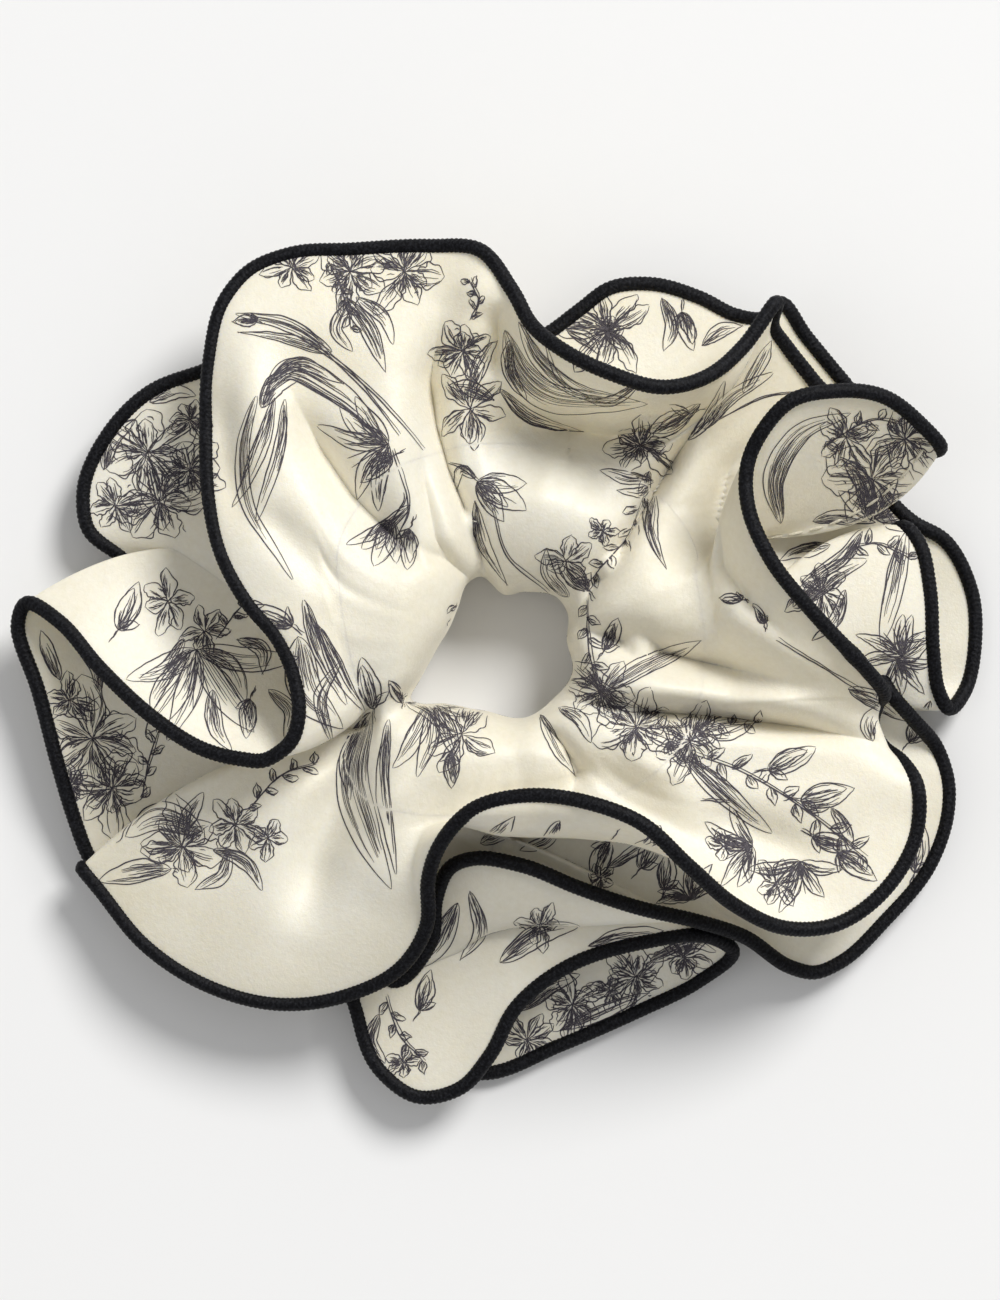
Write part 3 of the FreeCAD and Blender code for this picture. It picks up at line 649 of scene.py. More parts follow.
# The folds go into the casing's upper side and both its edges, but it can't sink below the elastic in it.
down = np.linspace(0, 1, CASING_ROWS)[None, :]
case = pressed(case, 1 - step_between(down, 0.46, 0.62) + step_between(down, 0.85, 1.0))
spread = np.hypot(case[..., 0] - RING[0], case[..., 1] - RING[1])
elastic_top = ELASTIC_HEIGHT + 0.5 * ELASTIC_WIDE + 1.3
rests = np.where(down < 0.5, elastic_top - 0.4 * (spread - ELASTIC_RADIUS - 0.5)**2, -20)
above = case[..., 2] - rests
case[..., 2] = rests + 0.5 * (above + np.sqrt(above**2 + 0.8))

sheets = {"upper_ruffle": upper, "lower_ruffle": lower, "casing": case}
cloth, trees, hems = {}, {}, {}
for name, grid in sheets.items():
    cloth[name] = smooth_surface(name, grid, satin)
    mesh = cloth[name].data
    trees[name] = BVHTree.FromPolygons([v.co[:] for v in mesh.vertices],
                                       [p.vertices[:] for p in mesh.polygons])
for name, grid in (("upper_hem_binding", upper), ("lower_hem_binding", lower)):
    line = hem_line(grid[:, -1])
    radius = np.full(len(line), HEM_RADIUS)
    if name == "upper_hem_binding":
        away = np.hypot(line[:, 0] - HEM_START[0], line[:, 1] - HEM_START[1])
        radius *= 1 + SWELLING * np.exp(-(away / SWELLING_REACH)**2)
    hems[name] = smooth_surface(name, wound_tube(line, radius), hem_thread, closed_across=True)


# ---- pen strokes: each drawing is a list of lines in plan and their widths ----
def smooth_line(points, spacing=0.45):
    """A Catmull-Rom line through points, at about the given spacing."""
    p = np.array(points, float)
    if len(p) == 2:
        p = np.array([p[0], 0.5 * (p[0] + p[1]), p[1]])
    p = np.vstack((2 * p[0] - p[1], p, 2 * p[-1] - p[-2]))
    out = []
    for i in range(1, len(p) - 2):
        n = max(3, int(np.linalg.norm(p[i + 1] - p[i]) / spacing))
        t = np.arange(n)[:, None] / n
        out.append(0.5 * (2 * p[i] + (p[i + 1] - p[i - 1]) * t
                          + (2 * p[i - 1] - 5 * p[i] + 4 * p[i + 1] - p[i + 2]) * t**2
                          + (3 * p[i] - p[i - 1] - 3 * p[i + 1] + p[i + 2]) * t**3))
    out.append(p[-2:-1])
    return np.vstack(out)


def beside(line):
    """The direction across a line, to its left, at each point."""
    along = np.gradient(line, axis=0)
    length = np.linalg.norm(along, axis=1, keepdims=True)
    return np.stack((-along[:, 1], along[:, 0]), 1) / np.maximum(length, 1e-6)


def hand(line, size):
    """The line with a slight tremor, as of a hand."""
    x = np.linspace(0, 1, len(line))
    wave = sum(random.uniform(-1, 1) * np.sin(2 * math.pi * (f * x + random.random())) / f
               for f in (1, 2, 4, 7))
    return line + beside(line) * (size * wave)[:, None] if len(line) > 2 else line


def turned_to(points, place, angle):
    a = math.radians(angle)
    x, y = np.array(points, float).T
    return np.stack((place[0] + x * math.cos(a) - y * math.sin(a),
                     place[1] + x * math.sin(a) + y * math.cos(a)), 1)


def leaf(points, width, hatches):
    """A long petal or leaf: two edges, a rib and hatching that follows it."""
    spine = smooth_line(points)
    n, side = len(spine), beside(spine)
    half = 0.5 * width * np.sin(math.pi * np.linspace(0, 1, n)**0.85)**0.75
    strokes = [(hand(spine + side * half[:, None], 0.2), 0.21),
               (hand(spine - side * half[:, None], 0.2), 0.25)]
    if random.random() < 0.6:
        strokes.append((hand(spine[: int(n * 0.85)], 0.15), 0.17))
    shaded = random.choice((-1, 1))
    hatches = int(1.5 * hatches)
    for i in range(hatches):
        f = shaded * (0.9 - 1.6 * (i + random.uniform(-0.3, 0.3)) / hatches)
        first = int(n * random.uniform(0.0, 0.16))
        last = int(n * random.uniform(0.35, 0.92))
        if last - first > 3:
            part = slice(first, last)
            line = spine[part] + side[part] * (half[part] * f)[:, None]
            strokes.append((hand(line, 0.12), random.uniform(0.12, 0.19)))
    return strokes


def petal(place, angle, length, width, bend, hatches):
    spine = [(0, 0), (0.5 * length, 0.25 * bend), (length, bend)]
    return leaf(turned_to(spine, place, angle), width, hatches)


def stem(points):
    line = smooth_line(points)
    return [(hand(line, 0.15), 0.26), (hand(line + 0.32, 0.15), 0.18)]


def sprig(points, size):
    """A stem with small leaves to its left and right."""
    out = stem(points)
    line = smooth_line(points)
    n = len(line)
    count = max(3, int(n * 0.45 / (0.62 * size)))
    for i in range(count):
        k = min(n - 2, int(n * (i + 0.5) / count))
        x, y = line[k + 1] - line[k]
        angle = math.degrees(math.atan2(y, x)) + (48 if i % 2 else -48) + random.uniform(-14, 14)
        out += petal(line[k], angle, size * random.uniform(0.75, 1.1), 0.42 * size, 0.12 * size, 4)
    return out


def bud(place, angle, size):
    out = petal(place, angle, size, 0.42 * size, 0.08 * size, 5)
    out += petal(place, angle + 14, 0.85 * size, 0.3 * size, -0.1 * size, 4)
    out += petal(place, angle - 34, 0.42 * size, 0.16 * size, -0.1 * size, 3)
    return out + stem(turned_to([(0, 0), (-0.3 * size, 0.05 * size)], place, angle))


def tulip(place, angle, size):
    out = []
    for turn, length, width in ((-26, 0.85, 0.34), (24, 0.88, 0.36), (0, 1.0, 0.46), (-8, 0.7, 0.25)):
        bend = 0.06 * size * random.uniform(-1, 1)
        out += petal(place, angle + turn, length * size, width * size, bend, 5)
    stalk = [(0, 0), (-0.35 * size, 0.1 * size), (-0.6 * size, 0.05 * size)]
    return out + stem(turned_to(stalk, place, angle))


def lily(place, angle, size):
    """Five bent petals that fan out, with three stamens between them."""
    out = []
    for turn in (-62, -30, -4, 27, 58):
        turn += random.uniform(-7, 7)
        out += petal(place, angle + turn, size * random.uniform(0.7, 1.0), 0.24 * size,
                     0.35 * size * math.copysign(random.uniform(0.3, 1), turn), 5)
    for turn in (-14, 6, 20):
        stamen = [(0, 0), (0.3 * size, 0.02 * size), (0.58 * size, 0.05 * size)]
        out.append((smooth_line(turned_to(stamen, place, angle + turn)), 0.2))
    return out


def scribble(place, radius, count):
    """Short curved pen strokes that darken a place."""
    out = []
    for _ in range(count):
        a, r = random.uniform(0, FULL_TURN), radius * math.sqrt(random.random())
        x, y = place[0] + r * math.cos(a), place[1] + r * math.sin(a)
        d, length = random.uniform(0, FULL_TURN), random.uniform(0.4, 1.0) * (0.4 + 0.2 * radius)
        line = [(x, y), (x + length * math.cos(d), y + length * math.sin(d)),
                (x + 2 * length * math.cos(d + 0.5), y + 2 * length * math.sin(d + 0.5))]
        out.append((smooth_line(line), random.uniform(0.15, 0.24)))
    return out


def broad_petal(place, angle, length, width):
    """A full petal that curls to one side, with a frilled rim and a pointed tip, hatched from its base."""
    n = max(16, int(length * 3.2))
    u = np.linspace(0, 1, n)
    half = 0.5 * width * np.clip(np.sin(math.pi * u**1.35), 0, 1)**0.8
    out, curl = [], length * random.uniform(-0.3, 0.3) * u**2
    for side in (-1, 1):
        waves = np.sin(2 * math.pi * (random.choice((2, 3, 4)) * u + random.random()))
        rim = np.stack((length * u, side * half + 0.16 * width * waves * u * (1 - u)**0.5 + curl), 1)
        out.append((hand(turned_to(rim, place, angle), 0.14), 0.22))
    shaded = random.choice((-1, 1))
    for _ in range(9):
        f = shaded * random.uniform(-0.5, 0.92)
        first, last = int(n * random.uniform(0.12, 0.4)), int(n * random.uniform(0.5, 0.95))
        line = np.stack((length * u, f * half + curl), 1)[first:last]
        if len(line) > 3:
            out.append((hand(turned_to(line, place, angle), 0.1), random.uniform(0.12, 0.18)))
    return out


def flower(place, radius, petals):
    out, start = [], random.uniform(0, 360)
    for i in range(petals):
        out += broad_petal(place, start + 360 * i / petals + random.uniform(-14, 14),
                           radius * random.uniform(0.75, 1.25), 3.2 * radius / petals)
    return out + scribble(place, 0.13 * radius, 3)


def bloom(place, radius):
    """A full flower head: two rings of frilled petals and shaded places between them."""
    out, start = [], random.uniform(0, 360)
    for ring, count in ((1.0, 6), (0.66, 4)):
        for i in range(count):
            angle = start + 360 * i / count + random.uniform(-16, 16)
            out += broad_petal(place, angle, ring * radius * random.uniform(0.8, 1.35),
                               ring * radius * random.uniform(0.45, 0.75))
        start += 31
    for i in range(4):
        a = math.radians(90 * i + random.uniform(0, 60))
        shade = (place[0] + 0.55 * radius * math.cos(a), place[1] + 0.55 * radius * math.sin(a))
        out += scribble(shade, 0.2 * radius, 2)
    return out + scribble(place, 0.12 * radius, 3)


# ---- the print ----
# What the camera sees of it: each drawing, its sizes, and its points in plan. The sizes are a leaf's width
# and its number of hatches; the length of a sprig's leaves; a bloom's radius; a flower's radius and its
# number of petals; and the direction and length of a bud, a tulip or a lily.
DRAWINGS = (
    (bloom, (6.8,), (-15.2, 66.9)), (bloom, (5.9,), (-24.3, 66.9)), (flower, (4.6, 7), (-34, 67.6)),
    (leaf, (2.8, 6), (-25.2, 62.6, -21.3, 57.2, -18.3, 50.2)),
    (leaf, (2.2, 4), (-24.3, 62.2, -26.5, 57.6, -24, 53.6)),
    (leaf, (2.2, 4), (-23.3, 62.6, -18.7, 59.2, -17.2, 54.8)),
    (sprig, (2.3,), (-27.7, 68.6, -25.2, 62.2, -24, 57.2)),
    (leaf, (2.2, 5), (-27.3, 53.6, -34.3, 57.9, -43.3, 59.9)),
    (leaf, (1.5, 4), (-27.7, 53.2, -34.3, 55.6, -43, 56.9)), (bud, (175, 4.3), (-39.7, 58.6)),
    (stem, (), (-32.7, 55.9, -25.7, 51.2, -19, 45.2, -12.3, 37.2)),
    (stem, (), (-29.7, 54.9, -22.3, 47.6, -16.3, 39.6)),
    (leaf, (2.3, 6), (-37, 45.9, -38.8, 38.9, -41.3, 32.2, -44, 27.6)),
    (leaf, (2.3, 6), (-40, 46.2, -42, 37.2, -40.7, 26.9, -34, 15.6)),
    (leaf, (2, 5), (-35.3, 45.6, -36.2, 37.2, -40, 25.2)),
    (leaf, (4, 9), (-39, 46.2, -34.3, 50.6, -27.3, 47.6, -22.3, 43.6, -18.7, 38.6)),
    (leaf, (2, 6), (-38.7, 47.9, -32.7, 51.6, -25.3, 48.2)),
    (leaf, (3.3, 9), (-39, 44.2, -36.7, 48.2, -32.7, 49.2)), (lily, (188, 12), (-18, 38.2)),
    (bud, (215, 6.7), (-17.3, 36.2)), (stem, (), (-17.3, 37.2, -15.7, 32.2, -14.7, 26.9, -16.7, 22.2)),
    (tulip, (252, 8.3), (-17.3, 25.6)), (leaf, (2.3, 5), (-14.3, 28.1, -19.3, 23.9, -25, 21.4)),
    (bud, (262, 7), (-14.3, 24.2)), (leaf, (2.3, 6), (-32, 12.2, -29.7, 4.2, -25, -5.1)),
    (leaf, (5.7, 9), (-33, 6.2, -31.7, -2.8, -25.7, -9.1)),
    (leaf, (2.3, 6), (-30, 8.6, -25.7, -1.1, -21.7, -6.4)),
    (leaf, (2, 5), (-27.7, -11.1, -29.3, -4.4, -26, 2.2)), (bud, (150, 7.7), (-34, 7.9)),
    (bud, (100, 8.7), (-20.3, -5.8)), (bud, (112, 4.3), (-16, -4.8)),
    (leaf, (2.3, 5), (-38, -2.8, -34.3, -6.4, -35.3, -11.1)),
    (sprig, (2,), (-6.7, 11.9, -7.8, 5.2, -11.7, -3.1)), (bloom, (5.2,), (-5.5, 53.9)),
    (flower, (5.8, 7), (-4.3, 44.2)), (leaf, (2.3, 6), (-0.3, 45.6, -4.3, 47.6, -8, 48.2)),
    (leaf, (2.3, 5), (-4.3, 46.9, -1.7, 53.6, 0.3, 55.6)),
    (sprig, (1.8,), (-4.3, 58.9, -3, 62.2, -4.3, 65.6)),
    (leaf, (4.7, 11), (1.7, 57.2, 4.3, 50.2, 9.3, 46.2, 17.7, 45.2, 25.3, 45.2)),
    (leaf, (2.5, 7), (4, 58.6, 7.7, 51.9, 14.7, 46.9, 24, 45.6)),
    (leaf, (2.2, 6), (0.7, 47.6, 6, 42.6, 14.7, 40.4)), (leaf, (2.3, 8), (2.7, 55.6, 2.3, 50.2, 5.3, 45.9)),
    (stem, (), (8.2, 54.8, 10.7, 48.9, 17.3, 45.2)), (bud, (205, 8.7), (32.3, 43.6)),
    (leaf, (2.2, 6), (34, 45.2, 28.7, 41.6, 22.7, 40.6)),
    (leaf, (1.7, 4), (24, 48.6, 19.3, 45.6, 14.8, 45.9)), (tulip, (-28, 9.3), (-3, 31.9)),
    (leaf, (2, 6), (-3.3, 28.9, -2, 21.9, 2, 14.9)), (stem, (), (-0.7, 27.6, 2, 19.6, 8.7, 13.6)),
    (leaf, (1.5, 4), (-3.3, 32.6, -5.7, 33.9, -6.7, 30.2)), (flower, (5.8, 6), (24, 37.9)),
    (flower, (3.5, 5), (24, 37.9)), (leaf, (2.2, 5), (26, 32.2, 21.3, 32.6, 17.3, 33.9)),
    (leaf, (1.8, 4), (25.3, 33.9, 24, 30.2, 20, 30.6)),
    (sprig, (2.8,), (25.3, 31.6, 21.3, 22.6, 15.3, 15.2)), (flower, (4.2, 5), (11.7, 18.9)),
    (bud, (130, 7.3), (15.3, 13.9)), (flower, (2.3, 5), (17.7, 23.9)),
    (leaf, (1.8, 4), (26.7, 29.9, 26, 23.6, 28.3, 17.2)), (leaf, (1.2, 3), (25, 28.9, 25.3, 23.1)),
    (leaf, (2.3, 5), (12.3, 12.9, 8.7, 16.9, 8.3, 20.9)),
    (sprig, (3,), (15.3, 12.2, 15.7, 3.9, 17.7, -4.8)), (bud, (62, 6.3), (18, 3.6)),
    (leaf, (3.2, 7), (18, -2.8, 26, 1.9, 34.3, 5.6)), (leaf, (2.3, 6), (16, -0.8, 21, -4.8, 26, -6.4)),
    (bloom, (6.3,), (17.7, -3.1)), (bloom, (5.9,), (23.3, -9.1)), (bloom, (5.9,), (32.3, -11.4)),
    (sprig, (3,), (24, -9.4, 34, -9.1, 44, -8.4)), (leaf, (2.2, 5), (7.5, -7.1, 10, -12.1, 13, -17.1)),
    (leaf, (2.2, 5), (10.7, -5.8, 14, -7.8, 16, -11.4)), (bud, (-60, 5), (28.7, -11.4)),
    (lily, (-48, 12.7), (-10.7, -5.1)), (flower, (5.8, 6), (-5.7, -10.2)), (bud, (-95, 6), (-7.3, -13.1)),
    (leaf, (2.7, 7), (-15.3, -4.8, -11, -6.4, -8, -11.1)),
    (leaf, (5.7, 12), (-20.7, -6.4, -24, -16.4, -21.7, -26.1, -17.3, -35.8)),
    (leaf, (2.2, 6), (-18, -7.8, -18.7, -17.8, -16.7, -33.4)),
    (leaf, (2, 6), (-21.7, -7.1, -25, -14.4, -24.3, -21.1)),
    (sprig, (3.7,), (32.3, -13.1, 40.7, -16.4, 50.7, -22.1, 61.7, -30.8)),
    (leaf, (3.7, 8), (31.3, -13.8, 37.7, -19.8, 46, -26.4)), (bud, (20, 8.7), (45.3, -16.1)),
    (bud, (8, 9.3), (50.7, -21.1)), (bud, (-40, 8), (57, -29.8)), (lily, (196, 8.7), (42.7, -28.8)),
    (flower, (3.1, 5), (38, -28.8)), (flower, (4, 6), (46.7, -35.1)), (lily, (-92, 9.3), (50.7, -31.4)),
    (leaf, (2, 4), (42.7, -29.8, 42, -32.4, 40.3, -35.8)), (bud, (-20, 7.3), (52.7, -27.1)),
    (leaf, (2, 4), (56, -22.4, 58.3, -26.1, 59.3, -29.4)), (bud, (170, 3.7), (41, 12.2)),
    (bud, (110, 4), (44.7, 8.2)), (stem, (), (46.7, 5.6, 54.3, 1.2, 61, -3.1)),
    (leaf, (3, 6), (58.7, -2.4, 63.7, -4.4, 68.3, -7.8)),
    (leaf, (2.3, 5), (62.7, -11.4, 62, -8.1, 64.3, -4.4)), (bud, (6, 9.3), (34.3, -9.8)),
    (stem, (), (34, -21.1, 39, -21.4)), (bloom, (8.1,), (62.7, 32.6)), (flower, (5.4, 7), (58.3, 39.6)),
    (leaf, (3.7, 9), (47.3, 25.2, 46.3, 32.9, 50.7, 40.2, 59, 43.6)),
    (leaf, (3, 8), (62.3, 25.2, 61, 32.2, 57.7, 36.2)), (bloom, (5.9,), (68.2, 39.2)),
    (lily, (78, 10.7), (63, 25.6)), (leaf, (2.3, 6), (52.7, 25.6, 57.3, 26.2, 63.3, 25.2)),
    (sprig, (2.7,), (54.3, 37.9, 62, 42.2, 68.2, 41.6)), (leaf, (4, 9), (49.7, 11.2, 56, 16.6, 61.7, 18.9)),
    (leaf, (3.3, 7), (68.3, 23.6, 66.3, 13.9, 64, 4.9)), (flower, (5.6, 7), (54.3, 13.6)),
    (lily, (118, 8.7), (67.7, 2.9)), (leaf, (2.5, 7), (61, 23.6, 57.3, 18.9, 51, 14.9)),
    (stem, (), (71.3, 5.6, 65.7, 4.8)), (leaf, (2.3, 7), (55.7, 21.4, 50.7, 20.2, 47.3, 18.9)),
    (leaf, (2, 5), (58.2, 13.9, 56.5, 8.9, 52.7, 5.6)), (sprig, (2.7,), (59, 20.9, 64, 21.4, 69.3, 18.9)),
    (lily, (-40, 7.3), (66.7, 2.2)), (bud, (76, 8), (69.7, -33.1)),
    (sprig, (2.2,), (73.3, -29.4, 72, -34.4, 68.2, -37.8)), (bud, (60, 6), (68.7, -11.4)),
    (leaf, (1.7, 4), (72.3, -4.4, 71, -9.4, 73, -12.4)), (bud, (-118, 7.7), (19, -27.8)),
    (leaf, (2.5, 6), (-2.7, -28.1, 0.7, -26.4, 3.2, -23.6)),
    (leaf, (2.2, 5), (10.7, -24.4, 8.2, -27.8, 4, -29.4)), (bud, (60, 7.7), (24, -32.4)),
    (bud, (80, 7), (28, -36.1)), (leaf, (2, 5), (19, -32.1, 24, -28.8, 27.7, -27.4)),
    (flower, (2.5, 5), (17.3, -34.1)), (lily, (110, 6.7), (32.3, -37.8)), (bud, (62, 8.7), (-63, 7.2)),
    (flower, (5, 6), (-54.7, 11.9)), (lily, (-84, 17.3), (-50, 3.9)),
    (sprig, (2.5,), (-46.7, 5.6, -43.3, 10.2, -40.7, 12.2)),
    (leaf, (3, 7), (-49.3, 3.9, -44, 0.9, -41.7, -4.8)),
    (leaf, (2.7, 6), (-51, 3.9, -56, -2.8, -57.7, -6.4)), (flower, (3.8, 6), (-48.5, 6.9)),
    (leaf, (2, 5), (-52, 5.6, -55.2, 0.9, -59.3, -1.1)), (bud, (260, 6.7), (-41, -4.4)),
    (leaf, (2.3, 6), (-43.3, 5.6, -39, 3.9, -39, -0.4)),
    (leaf, (2.7, 7), (-47.3, -2.8, -46.7, -9.4, -44, -13.1)), (bloom, (8.6,), (-67.3, -10.8)),
    (bloom, (6.8,), (-64, -19.1)), (flower, (4.2, 6), (-71, -4.4)),
    (leaf, (2.3, 6), (-72.7, -1.1, -74.7, 3.9, -76, 7.2)),
    (sprig, (2.5,), (-59.3, -21.1, -57.7, -14.4, -56.3, -9.4)),
    (leaf, (2.2, 5), (-66, -2.8, -67.3, 2.2, -71, 5.6)), (bloom, (4,), (-71, -18.6)),
    (bloom, (7.7,), (-52.3, -28.8)), (leaf, (4.7, 9), (-48.7, -26.4, -56, -23.8, -61.7, -27.1)),
    (leaf, (3.7, 8), (-54, -32.4, -60.3, -33.1, -66.3, -34.4)), (flower, (5.4, 7), (-43.3, -25.1)),
    (sprig, (2.7,), (-41.7, -23.1, -36, -17.4, -30, -15.1)), (leaf, (2.7, 6), (-52.7, -26.4, -48.7, -19.8)),
    (leaf, (2.3, 6), (-47, -29.4, -41.7, -31.4, -39, -36.1)),
    (leaf, (2.3, 6), (-44.3, -29.8, -45.7, -33.8, -50, -36.1)), (flower, (3.3, 5), (-38, -27.4)),
    (bloom, (8.6,), (-58, 36.9)), (bloom, (7.7,), (-56, 28.6)), (flower, (5, 7), (-63.3, 27.9)),
    (leaf, (2.5, 6), (-57.7, 45.2, -53.3, 46.9, -50, 46.2)), (flower, (3.8, 6), (-51, 42.2)),
    (leaf, (2.7, 6), (-65.3, 33.9, -64, 38.9, -60, 42.2)), (bloom, (5.4,), (-51, 33.9)),
    (flower, (7.1, 8), (18.7, 57.2)), (bloom, (3.2,), (18.7, 56.9)),
    (leaf, (2.3, 6), (27.7, 62.6, 29.3, 57.6, 28, 53.6)), (bud, (-78, 6.7), (31, 60.2)),
    (leaf, (2.2, 5), (34.3, 54.6, 37.7, 57.2, 41.3, 57.9)),
    (leaf, (2, 5), (11.7, 57.2, 15.3, 55.6, 17.3, 52.9)),
    (leaf, (2.5, 6), (34.7, 40.9, 39, 46.2, 46, 50.2)), (leaf, (2.2, 5), (41, 46.9, 44, 51.9, 45.7, 55.6)),
    (stem, (), (36.7, 42.2, 44, 45.9, 50.7, 46.9)), (leaf, (2, 5), (32.3, 38.9, 36, 43.9, 38, 48.9)),
    (sprig, (2.7,), (-18.3, -53.8, -16, -60.1, -12, -64.8)),
    (leaf, (3, 7), (-6.3, -38.1, -9.3, -45.1, -13.3, -49.1)),
    (leaf, (3.7, 8), (0.7, -48.1, 7.3, -43.4, 14, -41.9)), (flower, (3.8, 6), (7.3, -41.8)),
    (leaf, (2, 5), (15.3, -45.4, 21, -43.4, 28, -42.8)), (bud, (70, 7), (-12.7, -56.1)),
    (leaf, (2.2, 5), (-4.3, -36.1, -2.7, -42.8, -6, -47.8)), (flower, (2.7, 5), (-15.3, -64.8)),
    (leaf, (2, 5), (-19.3, -56.9, -20.7, -61.1, -18.3, -64.8)), (bloom, (5.9,), (12.7, -55.1)),
    (bloom, (5.4,), (23.3, -50.4)), (flower, (4.6, 7), (5.3, -61.1)), (bloom, (4,), (31.3, -47.1)),
    (leaf, (2.3, 6), (10.7, -59.4, 19, -55.8, 25.7, -53.1)),
    (leaf, (3, 8), (4, -56.1, 8.7, -52.1, 14, -50.1)), (flower, (3.3, 6), (19, -52.8)),
    (leaf, (2.2, 6), (25.7, -47.8, 32.3, -45.1, 36.7, -46.1)),
)
PROUD = 0.5 * SATIN + 0.05      # how far the ink lies from the middle of the cloth
STEEP, JUMP = 0.12, 1.6         # the pen lifts where the cloth is too steep, and at a fold's edge
eye = Vector(CAMERA) * MM
ribbons = {name: ([], []) for name in sheets}


def lay_ribbon(name, places, facing, width):
    """A strip of ink along points on a sheet, tapered at both ends."""
    if len(places) < 3:
        return
    p, n = np.array(places), np.array(facing)
    side = np.cross(np.gradient(p, axis=0), n)
    side /= np.maximum(np.linalg.norm(side, axis=1, keepdims=True), 1e-9)
    half = 0.5 * width * (0.35 + 0.65 * np.sin(math.pi * np.linspace(0, 1, len(p)))**0.6)[:, None]
    p = p + n * PROUD
    points, faces = ribbons[name]
    first = len(points)
    points.extend(np.stack((p - side * half, p + side * half), 1).reshape(-1, 3).tolist())
    faces.extend((i, i + 1, i + 3, i + 2) for i in range(first, first + 2 * len(p) - 2, 2))


def seen_at(x, y):
    """The sheet, point and normal that the camera sees at a place in plan; None where it's too steep."""
    ray = (Vector((x, y, SHARP)) * MM - eye).normalized()
    nearest, seen = math.inf, None
    for name, tree in trees.items():
        hit, normal, _, distance = tree.ray_cast(eye, ray)
        if hit is not None and distance < nearest:
            facing = normal if normal.dot(ray) < 0 else -normal
            nearest, seen = distance, (name, np.array(hit) / MM, np.array(facing))
    return None if seen is None or abs(seen[2][2]) < STEEP else seen


def lay_seen(line, width):
    """A stroke given in plan, laid on whatever the camera sees there."""
    sheet, places, facing = None, [], []
    for x, y in line:
        seen = seen_at(x, y)
        if seen is None or seen[0] != sheet or (places and np.linalg.norm(seen[1] - places[-1]) > JUMP):
            lay_ribbon(sheet, places, facing, width)
            sheet, places, facing = seen[0] if seen else None, [], []
        if seen:
            places.append(seen[1])
            facing.append(seen[2])
    lay_ribbon(sheet, places, facing, width)


def in_view(place, normal):
    """Whether the camera sees this side of the cloth here."""
    ray = Vector(place) * MM - eye
    if np.dot(normal, np.array(ray)) > 0:
        return False
    length = ray.length
    ray.normalize()
    return all(tree.ray_cast(eye, ray, length - 0.0012)[0] is None for tree in trees.values())


def at_grid(grid, facing, c, r):
    """Points and normals between a grid's points."""
    n, m, _ = grid.shape
    c = np.mod(c, n)
    r = np.clip(r, 0, m - 1.001)
    c0, r0 = c.astype(int), r.astype(int)
    c1 = (c0 + 1) % n
    fc, fr = (c - c0)[:, None], (r - r0)[:, None]
    place, normal = ((1 - fc) * (1 - fr) * g[c0, r0] + fc * (1 - fr) * g[c1, r0]
                     + (1 - fc) * fr * g[c0, r0 + 1] + fc * fr * g[c1, r0 + 1] for g in (grid, facing))
    return place, normal / np.maximum(np.linalg.norm(normal, axis=1, keepdims=True), 1e-9)


def any_drawing():
    """The strokes of a random drawing round (0, 0)."""
    draw = random.choice((lily, bud, flower, bloom, leaf, leaf, sprig, tulip))
    size = random.uniform(6, 10)
    if draw in (lily, bud, tulip):
        return draw((0, 0), random.uniform(0, 360), size)
    if draw is flower:
        return flower((0, 0), 0.5 * size, 7)
    if draw is bloom:
        return bloom((0, 0), 0.6 * size)
    a = random.uniform(0, FULL_TURN)
    x, y = size * math.cos(a), size * math.sin(a)
    spine = [(-x, -y), (0.8, 0.9), (x, y)]
    return leaf(spine, 0.36 * size, 6) if draw is leaf else sprig(spine, 0.34 * size)


def lay_unseen(name, grid, count, side):
    """Drawings at random places on one side of a sheet, wherever the camera doesn't see it."""
    facing = normals(grid) * side
    n, m, _ = grid.shape
    for _ in range(count):
        c0, r0 = random.randrange(n), random.uniform(0.25, 0.95) * (m - 1)
        j = min(int(r0), m - 2)
        along = np.linalg.norm(grid[(c0 + 1) % n, j] - grid[c0, j]) + 1e-3
        across = np.linalg.norm(grid[c0, j + 1] - grid[c0, j]) + 1e-3
        for line, width in any_drawing():
            if len(line) < 4:
                continue
            row = r0 + line[:, 1] / across
            inside = (row > 0.5) & (row < m - 1.5)
            places, sides = [], []
            for place, normal, ok in zip(*at_grid(grid, facing, c0 + line[:, 0] / along, row), inside):
                if ok and not in_view(place, normal):
                    places.append(place)
                    sides.append(normal)
                else:
                    lay_ribbon(name, places, sides, width)
                    places, sides = [], []
            lay_ribbon(name, places, sides, width)


for draw, sizes, numbers in DRAWINGS:
    points = np.reshape(numbers, (-1, 2))
    for line, width in draw(points if len(points) > 1 else points[0], *sizes):
        lay_seen(line, width)
for name in ("upper_ruffle", "lower_ruffle"):
    lay_unseen(name, sheets[name], 45, 1)
    lay_unseen(name, sheets[name], 45, -1)
lay_unseen("casing", case, 40, 1 if normals(case)[0, 20, 2] > 0 else -1)


# ---- the print's objects, the cloth's thickness, and the frame's parts that each piece stands for hidden ----
def thicken(obj):
    """Gives a sheet the satin's thickness, half of it on each side."""
    thick = obj.modifiers.new("thickness", "SOLIDIFY")
    thick.thickness, thick.offset = SATIN * MM, 0.0
    bpy.context.view_layer.objects.active = obj
    bpy.ops.object.modifier_apply(modifier=thick.name)
    obj.data.set_sharp_from_angle(angle=math.radians(55))


for name, (points, faces) in ribbons.items():
    stretching(new_object(name + "_print", points, faces, ink), "satin")
for name, obj in cloth.items():
    thicken(obj)
    stretching(obj, "satin", *halves(name))
for name, obj in hems.items():
    stretching(obj, "hem_thread", *halves(name))


# ---- the pieces inside: elastic, its tack, the channel seam and the closing seam ----
LAP = 28.0                      # how far the elastic's ends lie over each other, degrees
THREAD = 0.24                   # a sewing thread's radius


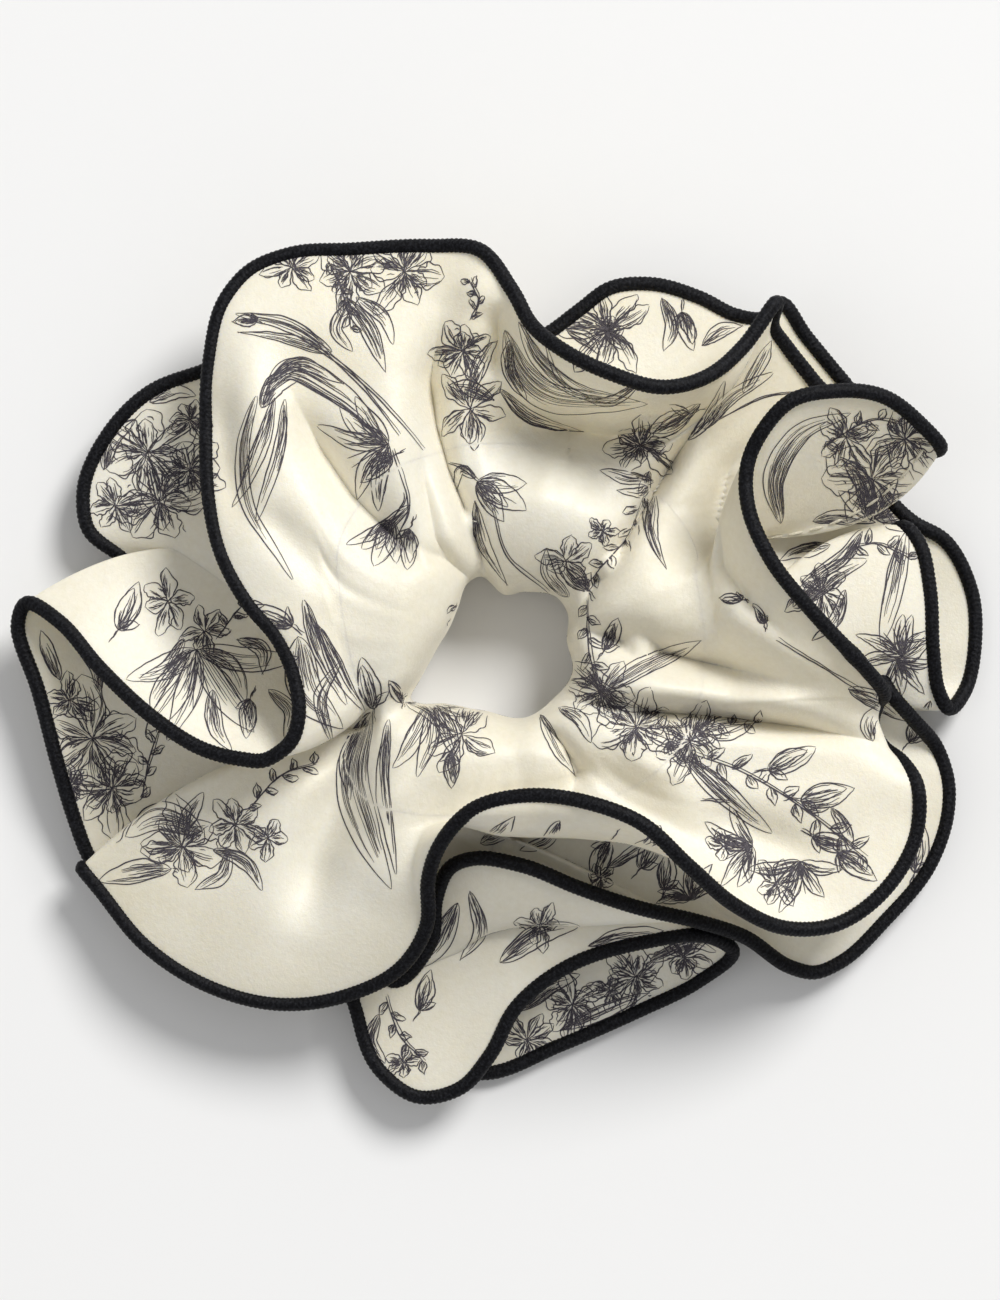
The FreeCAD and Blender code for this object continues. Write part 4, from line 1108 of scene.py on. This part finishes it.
def elastic_section():
    """The flat ribbed band's cross-sections, from its start to its end, which steps out over the start."""
    turn = np.linspace(180 - LAP / 2, 540 + LAP / 2, 560)
    radius = ELASTIC_RADIUS + ELASTIC_THICK * step_between(turn, 540 - LAP / 2 - 8, 540 - LAP / 2)
    rib = 0.06 * np.cos(np.arange(len(turn)) * math.pi)
    corners = ((-0.5, -0.42), (-0.5, 0.42), (-0.36, 0.5), (0.36, 0.5),
               (0.5, 0.42), (0.5, -0.42), (0.36, -0.5), (-0.36, -0.5))
    return np.stack([ring_point(turn, radius + ELASTIC_THICK * x + rib * np.sign(x),
                                ELASTIC_HEIGHT + ELASTIC_WIDE * z) for x, z in corners], 1)


def tack_stitches(count=6, length=20.0, half=2.0):
    """A zigzag over the lap, and at each of its corners a stitch down through both layers."""
    outside = ELASTIC_RADIUS + 1.5 * ELASTIC_THICK + THREAD
    threads = []
    for i in range(count + 1):
        a, z = 180 + length * (i / count - 0.5), half * (-1) ** i
        slant = [ring_point(a + length / count * t, outside, ELASTIC_HEIGHT + z * (1 - 2 * t))
                 for t in np.linspace(0, 1, 6)]
        down = [ring_point(a, r, ELASTIC_HEIGHT + z) for r in np.linspace(outside - 2.7, outside, 4)]
        threads += [thread_along(slant), thread_along(down)]
    return threads


def channel_stitches(count=72, below=1.35, lower=0.7):
    """Stitches just below the seam between casing and ruffles, sunk until the camera can't see them."""
    facing = normals(case)[:, 0]
    seam = case[:, 0] - facing * np.sign(facing[:, 2:]) * below
    threads = []
    for i in range(count):
        a = (360 / count * i + np.linspace(0, 3.4, 6)) / 360 * len(seam)
        k = a.astype(int)
        line = seam[k % len(seam)] * (k + 1 - a)[:, None] + seam[(k + 1) % len(seam)] * (a - k)[:, None]
        for _ in range(8):
            if any(in_view(place + (0, 0, 0.3), (0, 0, 1)) for place in line):
                line[:, 2] -= lower
        threads.append(thread_along(line))
    return threads


def closing_stitches(azimuth_of_seam=393.0):
    """Stitches from the channel to the hem where the strip's two ends are joined, on the outer sides."""
    threads = []
    for grid, azimuth, up in ((upper, upper_azimuth, 1), (lower, lower_azimuth, -1)):
        column = int(np.argmin(np.abs(azimuth - azimuth_of_seam)))
        run = grid[column] + up * normals(grid)[column] * (0.5 * SATIN + 0.5 * THREAD)
        for k in range(2, ROWS - 3, 3):
            threads.append(thread_along([run[k] * (1 - t) + run[k + 2] * t for t in np.linspace(0, 1, 4)]))
    return threads


for name, grids, material, slot, nodes in (
        ("elastic_band", [elastic_section()], elastic_cord, "elastic", halves("elastic")),
        ("elastic_tack", tack_stitches(), sewing_thread, "tack_thread", ["elastic_tack_stitches"]),
        ("channel_seam", channel_stitches(), sewing_thread, "sewing_thread", halves("channel_stitches")),
        ("closing_seam", closing_stitches(), sewing_thread, "sewing_thread", ["closing_seam_stitches"])):
    stretching(joined(name, grids, material), slot, *nodes)


# ---- table, light and camera, placed in metres ----
def lamp(name, place, size, power, colour=(1, 1, 1)):
    """A round soft light that points at the table's middle."""
    data = bpy.data.lights.new(name, "AREA")
    data.shape, data.size, data.energy, data.color = "DISK", size, power, colour
    obj = bpy.data.objects.new(name, data)
    obj.location = place
    obj.rotation_euler = (-Vector(place)).to_track_quat("-Z", "Y").to_euler()
    bpy.context.scene.collection.objects.link(obj)


TABLE_HALF = 3000.0             # mm
corners = [(x * TABLE_HALF, y * TABLE_HALF, 0) for x, y in ((-1, -1), (1, -1), (1, 1), (-1, 1))]
new_object("table_top", corners, [(0, 1, 2, 3)], table_material())
lamp("key", (1.62, 2.2, 2.5), 1.5, 126.0, (1.0, 0.99, 0.97))
lamp("fill", (-2.2, -0.6, 2.6), 2.5, 8.0)

scene = bpy.context.scene
scene.world = bpy.data.worlds.new("studio")
scene.world.use_nodes = True
background = scene.world.node_tree.nodes["Background"].inputs
background["Color"].default_value, background["Strength"].default_value = (1, 1, 1, 1), 0.425
scene.view_settings.view_transform = "Standard"

camera = bpy.data.cameras.new("camera")
camera.sensor_fit, camera.sensor_height = "VERTICAL", 36.0
camera.lens = camera.sensor_height * (CAMERA[2] - SHARP) / VIEW_HEIGHT
camera.clip_start, camera.clip_end = 0.05, 10
view = bpy.data.objects.new("camera", camera)
view.location = Vector(CAMERA) * MM
scene.collection.objects.link(view)
scene.camera = view
